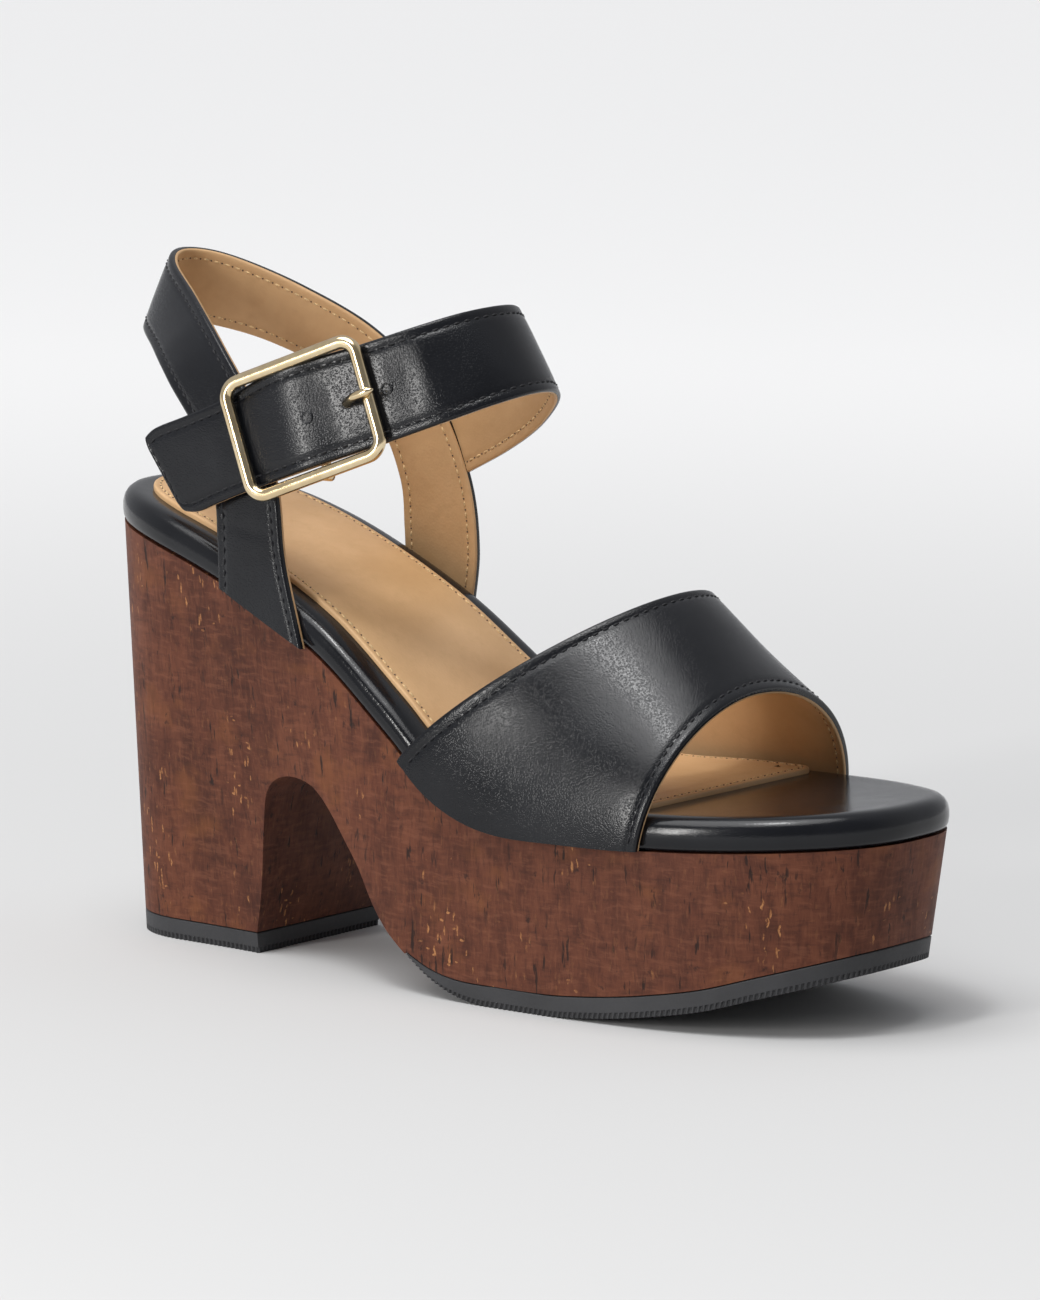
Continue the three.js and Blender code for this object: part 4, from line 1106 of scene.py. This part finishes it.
def tube(path, wide, deep, first, sides=16, closed=False):
    """Oval bar along a path; first is the direction of its wide axis, near enough."""
    path = np.asarray(path, float)
    along = unit(np.roll(path, -1, 0) - np.roll(path, 1, 0) if closed else np.gradient(path, axis=0))
    second = unit(np.cross(along, first))
    third = np.cross(second, along)
    turn = turns(sides)
    wide, deep = (np.broadcast_to(size, len(path))[:, None] for size in (wide, deep))
    points = (path[:, None] + third[:, None] * (wide * np.cos(turn))[..., None]
              + second[:, None] * (deep * np.sin(turn))[..., None])
    faces = grid_faces(len(path), sides, close_rows=closed, close_columns=True)
    return points, faces if closed else faces + end_faces(len(path), sides)


POST_SUNK = 0.6


def buckle():
    radius = BUCKLE_CORNER - BUCKLE_BAR / 2
    reach = ((BUCKLE_LONG - BUCKLE_BAR) / 2 - radius, (BUCKLE_TALL - BUCKLE_BAR) / 2 - radius)
    turn = np.pi / 2 * (np.arange(4)[:, None] + np.linspace(0, 1, 13))
    along = np.array([[1], [-1], [-1], [1]]) * reach[0] + np.cos(turn) * radius
    over = np.array([[1], [1], [-1], [-1]]) * reach[1] + np.sin(turn) * radius
    ring = tube(Buckle.at(along.ravel(), over.ravel(), 0), BUCKLE_DEPTH / 2, BUCKLE_BAR / 2,
                Buckle.w, 20, closed=True)
    side = (BUCKLE_TALL - BUCKLE_BAR) / 2
    thin = CENTRE_BAR / 2
    over = np.linspace(-side, side, 9)
    bar = tube(Buckle.at(0, over, -CENTRE_BAR_IN), thin, thin, Buckle.w)
    down = np.linspace(0, -CENTRE_BAR_IN - thin * POST_SUNK, 7)
    posts = [tube(Buckle.at(0, at, down), thin, thin, Buckle.u) for at in (-side, side)]
    bars = make("buckle_bars", *merge(ring, bar, *posts), GOLD)
    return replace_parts(bars, "buckle_frame")


PRONG_TAPER = 0.82
PRONG_TIP = 0.06


def prong():
    start = CENTRE_BAR / 2 + GAP + PRONG / 2
    rest = BUCKLE_DEPTH / 2 + GAP + PRONG / 2
    share = np.linspace(0, 1, 40)
    reach, rise = BUCKLE_LONG / 2 - start, rest + CENTRE_BAR_IN
    route = catmull([(start + along * reach, out * rise - CENTRE_BAR_IN) for along, out in PRONG_ROUTE],
                    share)
    thick = PRONG / 2 * np.linspace(1.0, PRONG_TAPER, 40)
    thick = thick * np.sqrt(np.clip((1 - share) / PRONG_TIP, 0.05, 1))
    pin = tube(Buckle.at(route[:, 0], 0, route[:, 1]), thick, thick, Buckle.v)
    turn = turns(32)
    eye = CENTRE_BAR / 2 + GAP + PRONG_EYE / 2
    ring = tube(Buckle.at(eye * np.cos(turn), 0, eye * np.sin(turn) - CENTRE_BAR_IN),
                PRONG / 2, PRONG_EYE / 2, Buckle.v, 12, closed=True)
    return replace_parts(make("prong", *merge(pin, ring), GOLD), "buckle_prong")


HOLE_PITCH = 11.5 * MM
HOLE_FIRST = 12.8 * MM
HOLE_RADIUS = 1.15 * MM
HOLE_SIDES = 24
HOLE_SEAT = 0.2 * MM
# Share of HOLE_RADIUS, and height over the leather in mm, of the rings from the rim into the hole
HOLE_RINGS = [(1.45, 0.12), (1.25, 0.26), (1.0, 0.18), (0.95, -0.5), (0.3, -0.55)]


def strap_holes():
    """Three punched holes; the prong comes out of the middle one."""
    t = np.linspace(0.3, 0.95, 900)
    middle = ankle_ribbon.middle(t)
    along = (middle - Buckle.origin) @ Buckle.u
    turn = turns(HOLE_SIDES)[:, None]
    faces = grid_faces(len(HOLE_RINGS), HOLE_SIDES, close_columns=True)
    faces.append(end_faces(len(HOLE_RINGS), HOLE_SIDES)[1])
    parts = []
    for number in (-1, 0, 1):
        k = int(np.argmin(np.abs(along - HOLE_FIRST - number * HOLE_PITCH)))
        out = ankle_ribbon.out(t[k:k + 1])[0]
        seat = middle[k] + out * (ANKLE_WALL / 2 + HOLE_SEAT + ankle_lift(t[k:k + 1], np.array([0.5])))
        side = unit(middle[k + 1] - middle[k - 1])
        rim = HOLE_RADIUS * (np.cos(turn) * side + np.sin(turn) * np.cross(out, side))
        parts.append((np.vstack([seat + out * height * MM + rim * share for share, height in HOLE_RINGS]),
                      faces))
    return make("strap_holes", *merge(*parts), BLACK)


GORE_RIBS = 44
RIB_HIGH = 0.16 * MM


def gore():
    """Elastic from inside the heel strap round the buckle's centre bar and back under itself."""
    wrap = CENTRE_BAR / 2 + GAP + GORE_WALL / 2
    root = heel_ribbon.middle(np.array([GORE_ROOT]))[0] - Buckle.origin
    u, w = root @ Buckle.u, root @ Buckle.w
    turn = -np.pi / 2 + np.pi * np.arange(7) / 6
    loop = [(math.cos(a) * wrap, -CENTRE_BAR_IN + math.sin(a) * wrap) for a in turn]
    path = [(u, w), (u / 2, (w - CENTRE_BAR_IN - wrap) / 2), *loop,
            (-GORE_RETURN / 2, wrap - CENTRE_BAR_IN), (-GORE_RETURN, wrap - CENTRE_BAR_IN)]
    line = catmull(path, np.linspace(0, 1, 150))
    along = unit(np.gradient(line, axis=0))
    flat = left_of(along)
    over = np.linspace(-GORE_WIDTH / 2, GORE_WIDTH / 2, GORE_RIBS * 4 + 1)[:, None, None]
    wave = RIB_HIGH * np.cos(2 * np.pi * np.arange(len(over)) / 4)
    thick = (GORE_WALL / 2 - RIB_HIGH + wave)[:, None, None]
    sheets = []
    for sign in (1, -1):
        place = line + flat * sign * thick
        sheets.append(Buckle.origin + place[..., :1] * Buckle.u + place[..., 1:] * Buckle.w
                      + over * Buckle.v)
    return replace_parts(make("elastic_band", *shell(*sheets), ELASTIC, 0.001 * MM), "elastic_gore")


# The photograph's view of the shoe: where the camera stands, and how far its picture is rolled
CAMERA_AT = Vector((1097.2 * MM, -1239.6 * MM, 332.1 * MM)) + Vector((BACK, CENTRE_Y, 0))
AIM = Vector(((cad_low.x + cad_high.x) / 2, 0.0, 0.086))
ROLL = 0.56
LENS = 210
AWAY = Vector((AIM.x - CAMERA_AT.x, AIM.y - CAMERA_AT.y, 0)).normalized()
RIGHT = Vector((AWAY.y, -AWAY.x, 0.0))
LIT = (0, 0, 0.08)
FLOOR = 60.0


def linked(name, data):
    obj = bpy.data.objects.new(name, data)
    bpy.context.scene.collection.objects.link(obj)
    return obj


def camera():
    data = bpy.data.cameras.new("camera")
    data.sensor_fit = "HORIZONTAL"
    data.lens = LENS
    data.clip_end = 50
    cam = linked("camera", data)
    cam.rotation_mode = "QUATERNION"
    turn = (AIM - CAMERA_AT).to_track_quat("-Z", "Y")
    cam.rotation_quaternion = turn @ Quaternion((0, 0, 1), math.radians(ROLL))
    cam.location = CAMERA_AT
    bpy.context.scene.camera = cam


def around(toward, side, up):
    """A place given from the sandal: towards the camera, to the picture's right, and up."""
    return AWAY * -toward + RIGHT * side + Vector((0, 0, up))


def light(name, kind, at, aim, power, **settings):
    data = bpy.data.lights.new(name, kind)
    data.energy = power
    for key, value in settings.items():
        setattr(data, key, value)
    lamp = linked(name, data)
    lamp.location = at
    lamp.rotation_euler = (Vector(aim) - at).to_track_quat("-Z", "Y").to_euler()


def studio():
    """Soft light from all round, from above and from a window at the left."""
    scene = bpy.context.scene
    n = Nodes("studio", bpy.data.worlds, "Background", "Generated")
    to_camera = n.node("VectorMath", {0: n.place, 1: around(0.95, 0.1, 0.28).normalized()},
                       operation="DOT_PRODUCT").outputs["Value"]
    scene.world = n.set(Color=(0.955, 0.965, 1.0, 1), Strength=n.mask(to_camera, 0.25, 0.85, 0.50, 0.20))
    scene.view_settings.view_transform = "Standard"
    light("ceiling", "SUN", around(0.15, -0.25, 0.93), (0, 0, 0), 2.0, angle=math.radians(50))
    light("window", "AREA", around(1.06, -1.12, 0.50), LIT, 10.5, shape="RECTANGLE", size=0.15,
          size_y=0.62, color=(1.0, 0.985, 0.96))
    light("top", "AREA", around(0.55, -0.35, 1.9), LIT, 8, shape="RECTANGLE", size=0.16, size_y=0.45)


def stage_floor():
    """Pale floor, flat to the horizon; its colour is painted shade near the sandal, against the lamps'
    pool of light there, and painted light far away.
    """
    n = Nodes("paper_painted_shade_and_light")
    far = n.node("VectorMath", {0: n.place}, operation="LENGTH").outputs["Value"]
    # Painted shade near the sandal and painted light far away, by distance from the middle
    pale = n.mix(n.mask(far, 0.15, 1.6), (0.595, 0.595, 0.593), (0.858, 0.856, 0.852))
    mesh = bpy.data.meshes.new("floor")
    corners = [(-FLOOR, -FLOOR, 0), (FLOOR, -FLOOR, 0), (FLOOR, FLOOR, 0), (-FLOOR, FLOOR, 0)]
    mesh.from_pydata(corners, [], [(0, 1, 2, 3)])
    mesh.materials.append(n.set(Base_Color=pale, Roughness=0.8, Specular_IOR_Level=0.15))
    linked("floor", mesh)


camera()
studio()
stage_floor()
cork_block()
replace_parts(rubber_piece("heel_rubber", HEEL_FRONT, lambda x: 0 * x, lambda x: RUBBER + 0 * x, False),
            "heel_top_lift")
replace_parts(rubber_piece("sole_rubber", RUBBER_START, lambda x: np.maximum(underside(x), 0),
                         rubber_thick, True), "forefoot_outsole")
footbed()
sock()
vamp()
heel_strap()
ankle_strap()
strap_holes()
gore()
buckle()
prong()
